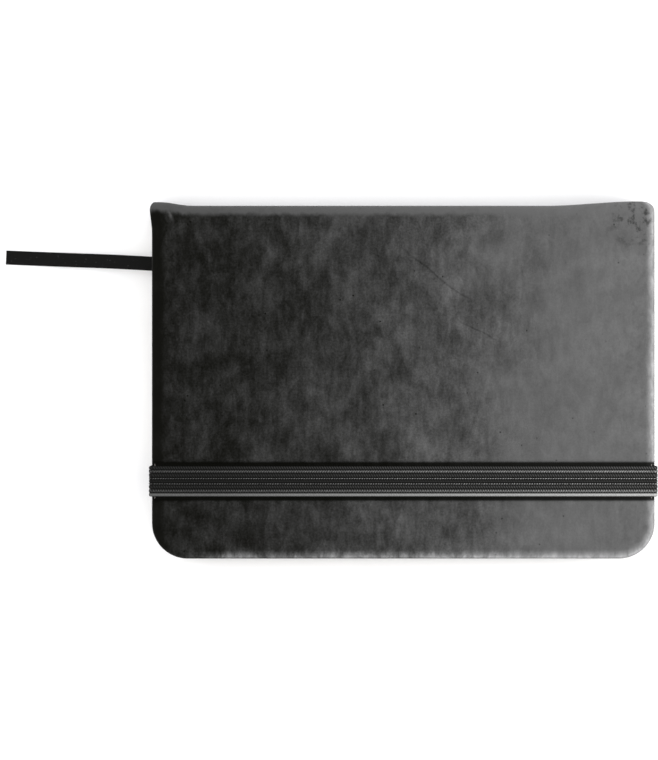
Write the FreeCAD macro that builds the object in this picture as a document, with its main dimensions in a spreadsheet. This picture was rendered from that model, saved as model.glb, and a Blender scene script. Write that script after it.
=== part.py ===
import FreeCAD, Part
import math
import os

import Sketcher
from FreeCAD import Placement, Rotation, Vector

# A pocket notebook of A6 size, lying closed on its back cover.
# X runs from the tail (-) to the head (+), Y from the fore edge (-) to the spine (+), Z up.
# The origin is the middle of the footprint, on the surface that the notebook rests on.

SIZES = {
    # hard cover, wrapped in one sheet of leatherette
    "cover_half": 74.0,         # middle to the head edge, and to the tail edge
    "cover_fore": 52.0,         # middle to the fore edge
    "spine_out": 52.0,          # middle to the outside of the spine
    "panel_back": 49.4,         # middle to the spine edge of either cover panel
    "cover_corner": 10.5,
    "skin": 0.8,
    "board": 0.8,               # board thickness under the turned-in leatherette
    "turn_in": 0.3,
    "turn_in_width": 12.0,
    "pastedown": 0.15,
    "pastedown_inset": 2.0,
    "edge_round": 0.7,
    "rim_round": 0.3,
    # sewn block of leaves
    "page_half": 72.5,
    "page_fore": 50.5,
    "page_back": 49.7,
    "page_corner": 9.0,
    "signature": 0.8,           # eight leaves
    "fold_round": 0.35,
    "flyleaf": 0.12,
    "ribbon_gap": 0.3,          # room for the ribbon between the two halves of the block
    # spine layers, each from its inner face
    "thread_middle": 49.95,
    "thread_radius": 0.15,
    "stitch_length": 0.6,
    "stitch_pitch": 30.0,
    "layer_clear": 0.4,         # how far the layers stop short of the cover panels
    "root_inner": 50.2,
    "lining_inner": 50.45,
    "lining": 0.2,
    "lining_half": 64.0,
    "strip_inner": 50.7,
    "strip": 0.45,
    "strip_half": 72.5,
    "shoulder": 2.5,            # outer radius where the panel turns into the spine
    "shoulder_start": 49.5,     # the arc's centre, from the middle
    # headbands
    "bead_radius": 0.7,
    "bead_along": 73.3,
    "bead_across": 50.2,
    "band_tongue": 64.5,        # where its glued tongue begins
    # closure elastic
    "elastic_width": 9.0,
    "elastic": 0.9,
    "elastic_across": 29.2,     # middle to the band's centre line, towards the fore edge
    "elastic_clear": 0.05,
    "elastic_bend": 0.6,
    "elastic_foot": 0.45,
    "anchor": 0.55,             # the band pressed flat where it is glued
    "anchor_start": 52.0,
    "slot_clear": 0.2,
    # ribbon marker
    "ribbon_width": 4.2,
    "ribbon": 0.2,
    "ribbon_across": 35.0,      # middle to the ribbon where it leaves the tail edge
    "ribbon_head_across": 46.5,
    "root_start": 52.0,
    "root_end": 72.4,
}

SIGNATURES_PER_HALF = 6
STITCH_STATIONS = 5

SKIN_AND_BOARD = "(Sizes.skin + Sizes.board)"
TRAY = "(Sizes.skin + Sizes.board + Sizes.turn_in)"
PANEL = "(Sizes.skin + Sizes.board + Sizes.turn_in + Sizes.pastedown)"
HALF_BLOCK = f"(Sizes.flyleaf + {SIGNATURES_PER_HALF} * Sizes.signature)"
REAR_TOP = f"({PANEL} + {HALF_BLOCK})"
HEIGHT = f"(2 * {REAR_TOP} + Sizes.ribbon_gap)"
LAYER_START = f"({PANEL} + Sizes.layer_clear)"
LAYER_LENGTH = f"({HEIGHT} - 2 * {LAYER_START})"

# Free part of the ribbon: out of the tail edge, down to the surface, then flat along it.
RIBBON_ROUTE = [
    (-72.52, 35.0, 7.07),
    (-79.0, 35.2, 6.80),
    (-87.5, 35.5, 5.10),
    (-96.0, 35.9, 2.40),
    (-104.5, 36.1, 0.55),
    (-111.7, 36.3, 0.13),
    (-118.6, 36.4, 0.12),
]


def make_sheet(doc):
    """Puts the driving dimensions into a spreadsheet, one alias each."""
    sheet = doc.addObject("Spreadsheet::Sheet", "Sizes")
    for row, (alias, size) in enumerate(SIZES.items(), start=1):
        sheet.set(f"A{row}", alias)
        sheet.set(f"B{row}", str(size))
        sheet.setAlias(f"B{row}", alias)
    doc.recompute()
    return sheet


def number(doc, expression):
    """The value of an expression over the sheet."""
    value = doc.Sizes.evalExpression(expression)
    return float(getattr(value, "Value", value))


def new_body(doc, label, height=None):
    """An empty body, lifted to a height given as an expression."""
    body = doc.addObject("PartDesign::Body", label)
    body.Label = label
    if height is not None:
        body.setExpression("Placement.Base.z", height)
    return body


def sketch_on(body, plane, height=None):
    """A sketch flat on one of the body's origin planes, or at a height above it."""
    sketch = body.newObject("Sketcher::SketchObject", body.Name + "_sketch")
    origin_plane = next(item for item in body.Origin.OriginFeatures if item.Role == plane)
    sketch.AttachmentSupport = [(origin_plane, "")]
    sketch.MapMode = "FlatFace"
    if height is not None:
        sketch.setExpression("AttachmentOffset.Base.z", height)
    return sketch


def bind(sketch, name, expression, kind, *points):
    """Adds a dimension that follows the sheet."""
    value = number(sketch.Document, expression)
    index = sketch.addConstraint(Sketcher.Constraint(kind, *points, value))
    sketch.renameConstraint(index, name)
    sketch.setExpression("Constraints." + name, expression)


def draw_loop(sketch, corners):
    """Closed run of straight lines, each joined to the next; returns the first line's index."""
    first = sketch.GeometryCount
    count = len(corners)
    for start, end in zip(corners, corners[1:] + corners[:1]):
        sketch.addGeometry(Part.LineSegment(Vector(*start, 0), Vector(*end, 0)))
    for line in range(count):
        follower = first + (line + 1) % count
        sketch.addConstraint(Sketcher.Constraint("Coincident", first + line, 2, follower, 1))
    return first


def draw_box(sketch, left, right, low, high):
    """Upright rectangle between four expressions, all measured from the sketch's origin."""
    x0, x1, y0, y1 = (number(sketch.Document, side) for side in (left, right, low, high))
    first = draw_loop(sketch, [(x0, y0), (x1, y0), (x1, y1), (x0, y1)])
    for side in range(4):
        direction = "Horizontal" if side % 2 == 0 else "Vertical"
        sketch.addConstraint(Sketcher.Constraint(direction, first + side))
    bind(sketch, f"left{first}", left, "DistanceX", -1, 1, first, 1)
    bind(sketch, f"right{first}", right, "DistanceX", -1, 1, first + 1, 1)
    bind(sketch, f"low{first}", low, "DistanceY", -1, 1, first, 1)
    bind(sketch, f"high{first}", high, "DistanceY", -1, 1, first + 2, 1)


def draw_cover_outline(sketch, half, fore, back, corner):
    """Panel or leaf outline: square at the spine, two round corners at the fore edge."""
    x, y0, y1, radius = (number(sketch.Document, size) for size in (half, fore, back, corner))
    lines = [
        ((-x, y1), (x, y1)),
        ((x, y1), (x, radius - y0)),
        ((x - radius, -y0), (radius - x, -y0)),
        ((-x, radius - y0), (-x, y1)),
    ]
    for start, end in lines:
        sketch.addGeometry(Part.LineSegment(Vector(*start, 0), Vector(*end, 0)))
    for side, first_angle, last_angle in ((1, -90, 0), (-1, 180, 270)):
        circle = Part.Circle(Vector(side * (x - radius), radius - y0, 0), Vector(0, 0, 1), radius)
        arc = Part.ArcOfCircle(circle, math.radians(first_angle), math.radians(last_angle))
        sketch.addGeometry(arc)
    spine_edge, head_edge, fore_edge, tail_edge, head_corner, tail_corner = range(6)
    joined = Sketcher.Constraint
    sketch.addConstraint([
        joined("Coincident", spine_edge, 2, head_edge, 1),
        joined("Coincident", tail_edge, 2, spine_edge, 1),
        joined("Tangent", head_edge, 2, head_corner, 2),
        joined("Tangent", head_corner, 1, fore_edge, 1),
        joined("Tangent", fore_edge, 2, tail_corner, 2),
        joined("Tangent", tail_corner, 1, tail_edge, 1),
        joined("Vertical", head_edge),
        joined("Vertical", tail_edge),
        joined("Symmetric", spine_edge, 1, spine_edge, 2, -2),
        joined("Equal", head_corner, tail_corner),
    ])
    bind(sketch, "half", half, "DistanceX", -1, 1, spine_edge, 2)
    bind(sketch, "back", back, "DistanceY", -1, 1, spine_edge, 2)
    bind(sketch, "fore", fore, "DistanceY", fore_edge, 1, -1, 1)
    bind(sketch, "corner", corner, "Radius", head_corner)


def pad(body, sketch, thickness, symmetric=False):
    feature = body.newObject("PartDesign::Pad", body.Name + "_pad")
    feature.Profile = sketch
    feature.setExpression("Length", thickness)
    if symmetric:
        feature.SideType = "Symmetric"
    body.Document.recompute()
    return feature


def pocket(body, sketch, depth):
    """Cuts down from the sketch, and stops the build if nothing was removed."""
    before = body.Shape.Volume
    feature = body.newObject("PartDesign::Pocket", body.Name + "_pocket")
    feature.Profile = sketch
    feature.setExpression("Length", depth)
    body.Document.recompute()
    if body.Shape.Volume >= before:
        raise RuntimeError(f"{body.Label}: a pocket removed nothing")
    return feature


def round_edges(body, base, radius, chosen):
    """Rounds the edges of the last feature for which chosen(bounding box) is true."""
    names = [
        f"Edge{index}"
        for index, edge in enumerate(base.Shape.Edges, start=1)
        if chosen(edge.BoundBox)
    ]
    feature = body.newObject("PartDesign::Fillet", body.Name + "_round")
    feature.Base = (base, names)
    feature.setExpression("Radius", radius)
    body.Document.recompute()
    return feature


def plate(doc, label, height, thickness, half, fore, back, corner):
    """Flat sheet or board with the outline of the notebook."""
    body = new_body(doc, label, height)
    sketch = sketch_on(body, "XY_Plane")
    draw_cover_outline(sketch, half, fore, back, corner)
    pad(body, sketch, thickness)
    return body


def turn_over(body):
    """Places a part of the back cover as its twin at the top of the notebook."""
    body.Placement = Placement(Vector(), Rotation(Vector(0, 1, 0), 180))
    body.setExpression("Placement.Base.z", HEIGHT)


def cut_elastic_slots(body):
    """One shallow slot at the head and one at the tail, where the closure elastic comes out."""
    sketch = sketch_on(body, "XY_Plane", TRAY)
    low = "-Sizes.elastic_across - Sizes.elastic_width / 2 - Sizes.slot_clear"
    high = "-Sizes.elastic_across + Sizes.elastic_width / 2 + Sizes.slot_clear"
    past_edge = "Sizes.cover_half + 1"
    draw_box(sketch, "Sizes.anchor_start - Sizes.slot_clear", past_edge, low, high)
    draw_box(sketch, f"-({past_edge})", "-Sizes.anchor_start + Sizes.slot_clear", low, high)
    pocket(body, sketch, "Sizes.anchor")


def make_leather_tray(doc, label):
    """Leatherette of one panel: outer skin, wrapped rim, and the flange turned in over the board."""
    body = plate(
        doc, label, None, TRAY,
        "Sizes.cover_half", "Sizes.cover_fore", "Sizes.panel_back", "Sizes.cover_corner",
    )
    spine_side = number(doc, "Sizes.panel_back") - 0.01
    top = number(doc, TRAY) - 0.01
    lower = round_edges(
        body, body.Tip, "Sizes.edge_round",
        lambda box: box.ZMax < 0.01 and box.YMin < spine_side,
    )
    round_edges(
        body, lower, "Sizes.rim_round",
        lambda box: box.ZMin > top and box.YMin < spine_side,
    )

    board_room = sketch_on(body, "XY_Plane", SKIN_AND_BOARD)
    draw_cover_outline(
        board_room, "Sizes.cover_half - Sizes.skin", "Sizes.cover_fore - Sizes.skin",
        "Sizes.panel_back + 1", "Sizes.cover_corner - Sizes.skin",
    )
    pocket(body, board_room, "Sizes.board")

    flange_opening = sketch_on(body, "XY_Plane", TRAY)
    draw_cover_outline(
        flange_opening, "Sizes.cover_half - Sizes.turn_in_width",
        "Sizes.cover_fore - Sizes.turn_in_width", "Sizes.panel_back + 1", "Sizes.rim_round",
    )
    pocket(body, flange_opening, "Sizes.turn_in")
    return body


def make_board(doc, label):
    """Grey board, pressed down round three sides where the leatherette is turned in."""
    body = plate(
        doc, label, None, "Sizes.board",
        "Sizes.cover_half - Sizes.skin", "Sizes.cover_fore - Sizes.skin",
        "Sizes.panel_back", "Sizes.cover_corner - Sizes.skin",
    )
    body.Group[0].setExpression("AttachmentOffset.Base.z", "Sizes.skin")
    centre = sketch_on(body, "XY_Plane", SKIN_AND_BOARD)
    draw_cover_outline(
        centre, "Sizes.cover_half - Sizes.turn_in_width",
        "Sizes.cover_fore - Sizes.turn_in_width", "Sizes.panel_back", "Sizes.rim_round",
    )
    pad(body, centre, "Sizes.turn_in")
    return body


def make_pastedown(doc, label):
    """Half of the folded endpaper that is glued inside a cover panel."""
    body = plate(
        doc, label, None, "Sizes.pastedown",
        "Sizes.cover_half - Sizes.pastedown_inset", "Sizes.cover_fore - Sizes.pastedown_inset",
        "Sizes.panel_back", "Sizes.cover_corner - Sizes.pastedown_inset",
    )
    body.Group[0].setExpression("AttachmentOffset.Base.z", TRAY)
    return body


def make_back_cover(doc):
    leather = make_leather_tray(doc, "back_cover_leather")
    board = make_board(doc, "back_cover_board")
    for body in (leather, board):
        cut_elastic_slots(body)
    return [leather, board, make_pastedown(doc, "back_pastedown")]


def make_front_cover(doc):
    parts = [
        make_leather_tray(doc, "front_cover_leather"),
        make_board(doc, "front_cover_board"),
        make_pastedown(doc, "front_pastedown"),
    ]
    for body in parts:
        turn_over(body)
    return parts


def make_leaf(doc, label, height, thickness):
    return plate(
        doc, label, height, thickness,
        "Sizes.page_half", "Sizes.page_fore", "Sizes.page_back", "Sizes.page_corner",
    )


def make_signature(doc, label, height):
    """Eight leaves folded together, round at the fold."""
    body = make_leaf(doc, label, height, "Sizes.signature")
    fold = number(doc, "Sizes.page_back") - 0.01
    round_edges(body, body.Tip, "Sizes.fold_round", lambda box: box.YMin > fold and box.XLength > 1)
    return body


def make_block(doc):
    """Two flyleaves and twelve signatures, numbered from the front of the notebook."""
    front_bottom = f"({REAR_TOP} + Sizes.ribbon_gap)"
    flyleaf_top = f"{front_bottom} + {SIGNATURES_PER_HALF} * Sizes.signature"
    parts = [
        make_leaf(doc, "back_flyleaf", PANEL, "Sizes.flyleaf"),
        make_leaf(doc, "front_flyleaf", flyleaf_top, "Sizes.flyleaf"),
    ]
    for level in range(SIGNATURES_PER_HALF):
        rear = f"{PANEL} + Sizes.flyleaf + {level} * Sizes.signature"
        parts.append(make_signature(doc, f"signature_{2 * SIGNATURES_PER_HALF - level:02d}", rear))
        front = f"{front_bottom} + {level} * Sizes.signature"
        parts.append(make_signature(doc, f"signature_{SIGNATURES_PER_HALF - level:02d}", front))
    return parts


def make_spine_leather(doc):
    """Middle of the leatherette sheet: flat spine with a quarter-round shoulder at each panel."""
    body = new_body(doc, "spine_leather")
    sketch = sketch_on(body, "YZ_Plane")
    start, outer, skin, height, back = (
        number(doc, size)
        for size in ("Sizes.shoulder_start", "Sizes.shoulder", "Sizes.skin", HEIGHT, "Sizes.spine_out")
    )
    inner = outer - skin
    middle_low = Vector(start, outer, 0)
    middle_high = Vector(start, height - outer, 0)
    up = Vector(0, 0, 1)

    def quarter(centre, radius, first_angle):
        circle = Part.Circle(centre, up, radius)
        return Part.ArcOfCircle(circle, math.radians(first_angle), math.radians(first_angle + 90))

    def line(y0, z0, y1, z1):
        return Part.LineSegment(Vector(y0, z0, 0), Vector(y1, z1, 0))

    sketch.addGeometry([
        quarter(middle_low, outer, -90),
        line(back, outer, back, height - outer),
        quarter(middle_high, outer, 0),
        line(start, height, start, height - skin),
        quarter(middle_high, inner, 0),
        line(back - skin, height - outer, back - skin, outer),
        quarter(middle_low, inner, -90),
        line(start, skin, start, 0),
    ])
    low_out, out_face, high_out, high_end, high_in, in_face, low_in, low_end = range(8)
    rule = Sketcher.Constraint
    sketch.addConstraint([
        rule("Tangent", low_out, 2, out_face, 1),
        rule("Tangent", out_face, 2, high_out, 1),
        rule("Coincident", high_out, 2, high_end, 1),
        rule("Coincident", high_end, 2, high_in, 2),
        rule("Tangent", high_in, 1, in_face, 1),
        rule("Tangent", in_face, 2, low_in, 2),
        rule("Coincident", low_in, 1, low_end, 1),
        rule("Coincident", low_end, 2, low_out, 1),
        rule("Coincident", low_out, 3, low_in, 3),
        rule("Coincident", high_out, 3, high_in, 3),
        rule("Vertical", out_face),
        rule("Vertical", high_end),
        rule("Vertical", low_end),
        rule("Equal", low_out, high_out),
        rule("PointOnObject", low_out, 1, -1),
    ])
    bind(sketch, "shoulder", "Sizes.shoulder", "Radius", low_out)
    bind(sketch, "start", "Sizes.shoulder_start", "DistanceX", -1, 1, low_out, 3)
    bind(sketch, "height", HEIGHT, "DistanceY", -1, 1, high_end, 1)
    bind(sketch, "skin", "Sizes.skin", "DistanceY", low_end, 2, low_end, 1)
    pad(body, sketch, "2 * Sizes.cover_half", symmetric=True)
    return body


def make_spine_slab(doc, label, half, inner, thickness):
    """Flat layer standing behind the block, between the two cover panels."""
    body = new_body(doc, label, LAYER_START)
    sketch = sketch_on(body, "XY_Plane")
    draw_box(sketch, f"-{half}", half, inner, f"{inner} + {thickness}")
    pad(body, sketch, LAYER_LENGTH)
    return body


def make_headband(doc, label, end):
    """Round bead at one end of the spine on a tongue glued under the spine; end is 1 or -1."""
    body = new_body(doc, label, LAYER_START)
    tongue = sketch_on(body, "XY_Plane")
    near, far = "Sizes.band_tongue", "Sizes.bead_along"
    if end < 0:
        near, far = f"-{far}", f"-{near}"
    draw_box(tongue, near, far, "Sizes.lining_inner", "Sizes.lining_inner + Sizes.lining")
    pad(body, tongue, LAYER_LENGTH)

    bead = sketch_on(body, "XY_Plane")
    along, across, radius = (
        number(doc, size) for size in ("Sizes.bead_along", "Sizes.bead_across", "Sizes.bead_radius")
    )
    bead.addGeometry(Part.Circle(Vector(end * along, across, 0), Vector(0, 0, 1), radius))
    bind(bead, "radius", "Sizes.bead_radius", "Radius", 0)
    bind(bead, "across", "Sizes.bead_across", "DistanceY", -1, 1, 0, 3)
    bind(bead, "along", f"{end} * Sizes.bead_along", "DistanceX", -1, 1, 0, 3)
    pad(body, bead, LAYER_LENGTH)
    return body


def make_sewing_thread(doc):
    """Link stitches behind the folds, one short rod across each joint between two signatures."""
    joints = []
    for half in (0, 1):
        base = f"({REAR_TOP} + Sizes.ribbon_gap)" if half else f"({PANEL} + Sizes.flyleaf)"
        joints += [f"{base} + {step} * Sizes.signature" for step in range(1, SIGNATURES_PER_HALF)]
    joints.append(f"{HEIGHT} / 2")

    stitches = []
    middle_station = (STITCH_STATIONS - 1) / 2
    for station in range(STITCH_STATIONS):
        for joint in joints:
            rod = doc.addObject("Part::Cylinder", "stitch")
            rod.setExpression("Radius", "Sizes.thread_radius")
            rod.setExpression("Height", "Sizes.stitch_length")
            rod.setExpression("Placement.Base.x", f"{station - middle_station} * Sizes.stitch_pitch")
            rod.setExpression("Placement.Base.y", "Sizes.thread_middle")
            rod.setExpression("Placement.Base.z", f"{joint} - Sizes.stitch_length / 2")
            stitches.append(rod)
    thread = doc.addObject("Part::Compound", "sewing_thread")
    thread.Label = "sewing_thread"
    thread.Links = stitches
    return thread


def make_spine(doc):
    return [
        make_spine_leather(doc),
        make_spine_slab(doc, "spine_strip", "Sizes.strip_half", "Sizes.strip_inner", "Sizes.strip"),
        make_spine_slab(doc, "spine_lining", "Sizes.lining_half", "Sizes.lining_inner", "Sizes.lining"),
        make_headband(doc, "head_band", 1),
        make_headband(doc, "tail_band", -1),
        make_sewing_thread(doc),
    ]


def make_elastic_anchor(doc, label, end):
    """End of the closure elastic, glued flat in its slot under the back pastedown."""
    box = doc.addObject("Part::Box", label)
    box.Label = label
    box.setExpression("Length", "Sizes.cover_half - Sizes.anchor_start")
    box.setExpression("Width", "Sizes.elastic_width")
    box.setExpression("Height", "Sizes.anchor")
    box.setExpression("Placement.Base.x", "Sizes.anchor_start" if end > 0 else "-Sizes.cover_half")
    box.setExpression("Placement.Base.y", "-Sizes.elastic_across - Sizes.elastic_width / 2")
    box.setExpression("Placement.Base.z", f"{TRAY} - Sizes.anchor")
    return box


def make_elastic_band(doc):
    """Closure elastic: up the tail edge, along the front cover and down the head edge."""
    body = new_body(doc, "elastic_band")
    body.setExpression("Placement.Base.y", "-Sizes.elastic_across")
    sketch = sketch_on(body, "XZ_Plane")
    names = ("cover_half", "elastic", "elastic_clear", "elastic_bend", "elastic_foot", "anchor")
    edge, thick, clear, bend, foot, anchor = (number(doc, f"Sizes.{name}") for name in names)
    tray = number(doc, TRAY)
    roof = number(doc, HEIGHT) + clear
    low = tray - anchor
    wall = edge + clear
    outer = bend + thick

    def side(end):
        """Foot, wall and upper corner at one end, from the anchor round to the roof."""
        turn = Vector(end * (wall - bend), roof - bend, 0)
        first = math.radians(0 if end > 0 else 90)
        last = first + math.radians(90)
        heel = Vector(end * (wall + thick - foot), low + foot, 0)
        heel_first = math.radians(-90 if end > 0 else 180)
        heel_last = heel_first + math.radians(90)
        up = Vector(0, 0, 1)

        def line(x0, z0, x1, z1):
            return Part.LineSegment(Vector(end * x0, z0, 0), Vector(end * x1, z1, 0))

        return [
            line(edge, tray, edge, low),
            line(edge, low, wall + thick - foot, low),
            Part.ArcOfCircle(Part.Circle(heel, up, foot), heel_first, heel_last),
            line(wall + thick, low + foot, wall + thick, roof - bend),
            Part.ArcOfCircle(Part.Circle(turn, up, outer), first, last),
            Part.ArcOfCircle(Part.Circle(turn, up, bend), first, last),
            line(wall, roof - bend, wall, tray),
            line(wall, tray, edge, tray),
        ]

    rule = Sketcher.Constraint
    for first, end in ((0, 1), (8, -1)):
        sketch.addGeometry(side(end))
        slot, sole, heel, outside, corner, inside_corner, inside, ledge = range(first, first + 8)
        start, finish = (1, 2) if end > 0 else (2, 1)
        sketch.addConstraint([
            rule("Coincident", slot, 2, sole, 1),
            rule("Tangent", sole, 2, heel, start),
            rule("Tangent", heel, finish, outside, 1),
            rule("Tangent", outside, 2, corner, start),
            rule("Coincident", corner, 3, inside_corner, 3),
            rule("Tangent", inside, 1, inside_corner, start),
            rule("Coincident", inside, 2, ledge, 1),
            rule("Coincident", ledge, 2, slot, 1),
            rule("Vertical", slot),
            rule("Horizontal", sole),
            rule("Vertical", outside),
            rule("Horizontal", ledge),
        ])
        name = "head" if end > 0 else "tail"
        bind(sketch, name + "_edge", f"{end} * Sizes.cover_half", "DistanceX", -1, 1, slot, 2)
        bind(sketch, name + "_low", f"{TRAY} - Sizes.anchor", "DistanceY", -1, 1, slot, 2)
        bind(sketch, name + "_tray", TRAY, "DistanceY", -1, 1, slot, 1)
        bind(sketch, name + "_foot", "Sizes.elastic_foot", "Radius", heel)
        bind(sketch, name + "_bend", "Sizes.elastic_bend", "Radius", inside_corner)
        wall_place = f"{end} * (Sizes.cover_half + Sizes.elastic_clear)"
        bind(sketch, name + "_wall", wall_place, "DistanceX", -1, 1, inside, 2)
        outside_place = f"{end} * (Sizes.cover_half + Sizes.elastic_clear + Sizes.elastic)"
        bind(sketch, name + "_outside", outside_place, "DistanceX", -1, 1, outside, 1)
    sketch.addGeometry([
        Part.LineSegment(
            Vector(wall - bend, roof + thick, 0), Vector(bend - wall, roof + thick, 0)),
        Part.LineSegment(Vector(bend - wall, roof, 0), Vector(wall - bend, roof, 0)),
    ])
    top, underside = 16, 17
    head_corner, head_inside, tail_corner, tail_inside = 4, 5, 12, 13
    sketch.addConstraint([
        rule("Tangent", head_corner, 2, top, 1),
        rule("Tangent", top, 2, tail_corner, 1),
        rule("Tangent", tail_inside, 1, underside, 1),
        rule("Tangent", underside, 2, head_inside, 2),
        rule("Horizontal", underside),
    ])
    bind(sketch, "roof", f"{HEIGHT} + Sizes.elastic_clear", "DistanceY", -1, 1, underside, 1)
    pad(body, sketch, "Sizes.elastic_width", symmetric=True)
    return body


def make_elastic(doc):
    return [
        make_elastic_band(doc),
        make_elastic_anchor(doc, "elastic_anchor_head", 1),
        make_elastic_anchor(doc, "elastic_anchor_tail", -1),
    ]


def make_ribbon_root(doc):
    """Glued end of the ribbon, flat against the folds below the head of the spine."""
    box = doc.addObject("Part::Box", "ribbon_root")
    box.Label = "ribbon_root"
    box.setExpression("Length", "Sizes.root_end - Sizes.root_start")
    box.setExpression("Width", "Sizes.ribbon")
    box.setExpression("Height", "Sizes.ribbon_width")
    box.setExpression("Placement.Base.x", "Sizes.root_start")
    box.setExpression("Placement.Base.y", "Sizes.root_inner")
    box.setExpression("Placement.Base.z", f"{HEIGHT} / 2 - Sizes.ribbon_width / 2")
    return box


def make_ribbon_inner(doc):
    """The ribbon between the pages, slanting from the head of the spine to the tail edge."""
    body = new_body(doc, "ribbon_inner", REAR_TOP)
    sketch = sketch_on(body, "XY_Plane")
    half, width, tail, head = (
        number(doc, f"Sizes.{name}")
        for name in ("page_half", "ribbon_width", "ribbon_across", "ribbon_head_across")
    )
    draw_loop(sketch, [
        (-half, tail - width / 2), (half, head - width / 2),
        (half, head + width / 2), (-half, tail + width / 2),
    ])
    tail_low, head_low, head_high = 0, 1, 2
    sketch.addConstraint(Sketcher.Constraint("Vertical", 1))
    sketch.addConstraint(Sketcher.Constraint("Vertical", 3))
    bind(sketch, "tail", "-Sizes.page_half", "DistanceX", -1, 1, tail_low, 1)
    bind(sketch, "head", "Sizes.page_half", "DistanceX", -1, 1, head_low, 1)
    low, high = "{} - Sizes.ribbon_width / 2", "{} + Sizes.ribbon_width / 2"
    at_tail, at_head = "Sizes.ribbon_across", "Sizes.ribbon_head_across"
    bind(sketch, "tail_low", low.format(at_tail), "DistanceY", -1, 1, tail_low, 1)
    bind(sketch, "head_low", low.format(at_head), "DistanceY", -1, 1, head_low, 1)
    bind(sketch, "head_high", high.format(at_head), "DistanceY", -1, 1, head_high, 1)
    bind(sketch, "tail_high", high.format(at_tail), "DistanceY", -1, 1, 3, 1)
    pad(body, sketch, "Sizes.ribbon")
    return body


def rounded_route(points):
    """Straight runs joined by tangent arcs, each arc as large as its two runs allow."""
    points = [Vector(*point) for point in points]
    edges = []
    start = points[0]
    for before, corner, after in zip(points, points[1:], points[2:]):
        arriving = (corner - before).normalize()
        leaving = (after - corner).normalize()
        turn = arriving.getAngle(leaving)
        cut = 0.45 * min((corner - before).Length, (after - corner).Length)
        radius = cut / math.tan(turn / 2)
        print(f"ribbon: turn {math.degrees(turn):.1f} deg, radius {radius:.1f} mm")
        first = corner - arriving * cut
        last = corner + leaving * cut
        to_centre = (leaving - arriving).normalize()
        middle = corner + to_centre * (radius / math.cos(turn / 2) - radius)
        edges.append(Part.LineSegment(start, first).toShape())
        edges.append(Part.Arc(first, middle, last).toShape())
        start = last
    edges.append(Part.LineSegment(start, points[-1]).toShape())
    return Part.Wire(edges)


def make_ribbon_tail(doc):
    """Free end of the ribbon: a flat strip swept along its route, its width kept level."""
    width = number(doc, "Sizes.ribbon_width")
    thick = number(doc, "Sizes.ribbon")
    route = rounded_route(RIBBON_ROUTE)
    start = Vector(*RIBBON_ROUTE[0])
    along = (Vector(*RIBBON_ROUTE[1]) - start).normalize()
    across = (Vector(0, 1, 0) - along * along.y).normalize()
    up = along.cross(across)
    signs = ((-1, -1), (1, -1), (1, 1), (-1, 1), (-1, -1))
    corners = [start + across * (width / 2 * s) + up * (thick / 2 * t) for s, t in signs]
    sweep = Part.BRepOffsetAPI.MakePipeShell(route)
    sweep.setBiNormalMode(Vector(0, 1, 0))
    sweep.add(Part.makePolygon(corners))
    sweep.build()
    sweep.makeSolid()
    strip = doc.addObject("Part::Feature", "ribbon_tail")
    strip.Label = "ribbon_tail"
    strip.Shape = sweep.shape()
    expected = width * thick * route.Length
    print(f"ribbon: free length {route.Length:.2f} mm, volume {strip.Shape.Volume:.3f} mm3,"
          f" section x length {expected:.3f} mm3")
    return strip


def make_ribbon(doc):
    return [make_ribbon_root(doc), make_ribbon_inner(doc), make_ribbon_tail(doc)]


def check_document(doc, parts):
    """Stops the build if any object failed or any part has no valid solid."""
    for item in doc.Objects:
        if "Invalid" in item.State or "Error" in item.State:
            raise RuntimeError(f"{item.Label} failed: {item.State}")
    for part in parts:
        if part.Shape.isNull() or not part.Shape.isValid() or not part.Shape.Solids:
            raise RuntimeError(f"{part.Label} has no valid solid")


def main():
    doc = FreeCAD.newDocument("pocket_notebook")
    make_sheet(doc)
    parts = make_back_cover(doc)
    parts += make_front_cover(doc)
    parts += make_block(doc)
    parts += make_spine(doc)
    parts += make_elastic(doc)
    parts += make_ribbon(doc)
    doc.recompute()
    check_document(doc, parts)
    os.makedirs("parts", exist_ok=True)
    for part in parts:
        part.Shape.exportStep(os.path.join("parts", part.Label + ".step"))
        print(f"{part.Label}: {len(part.Shape.Solids)} solid(s), {part.Shape.Volume:.2f} mm3")


main()
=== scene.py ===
import math
import random

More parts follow.
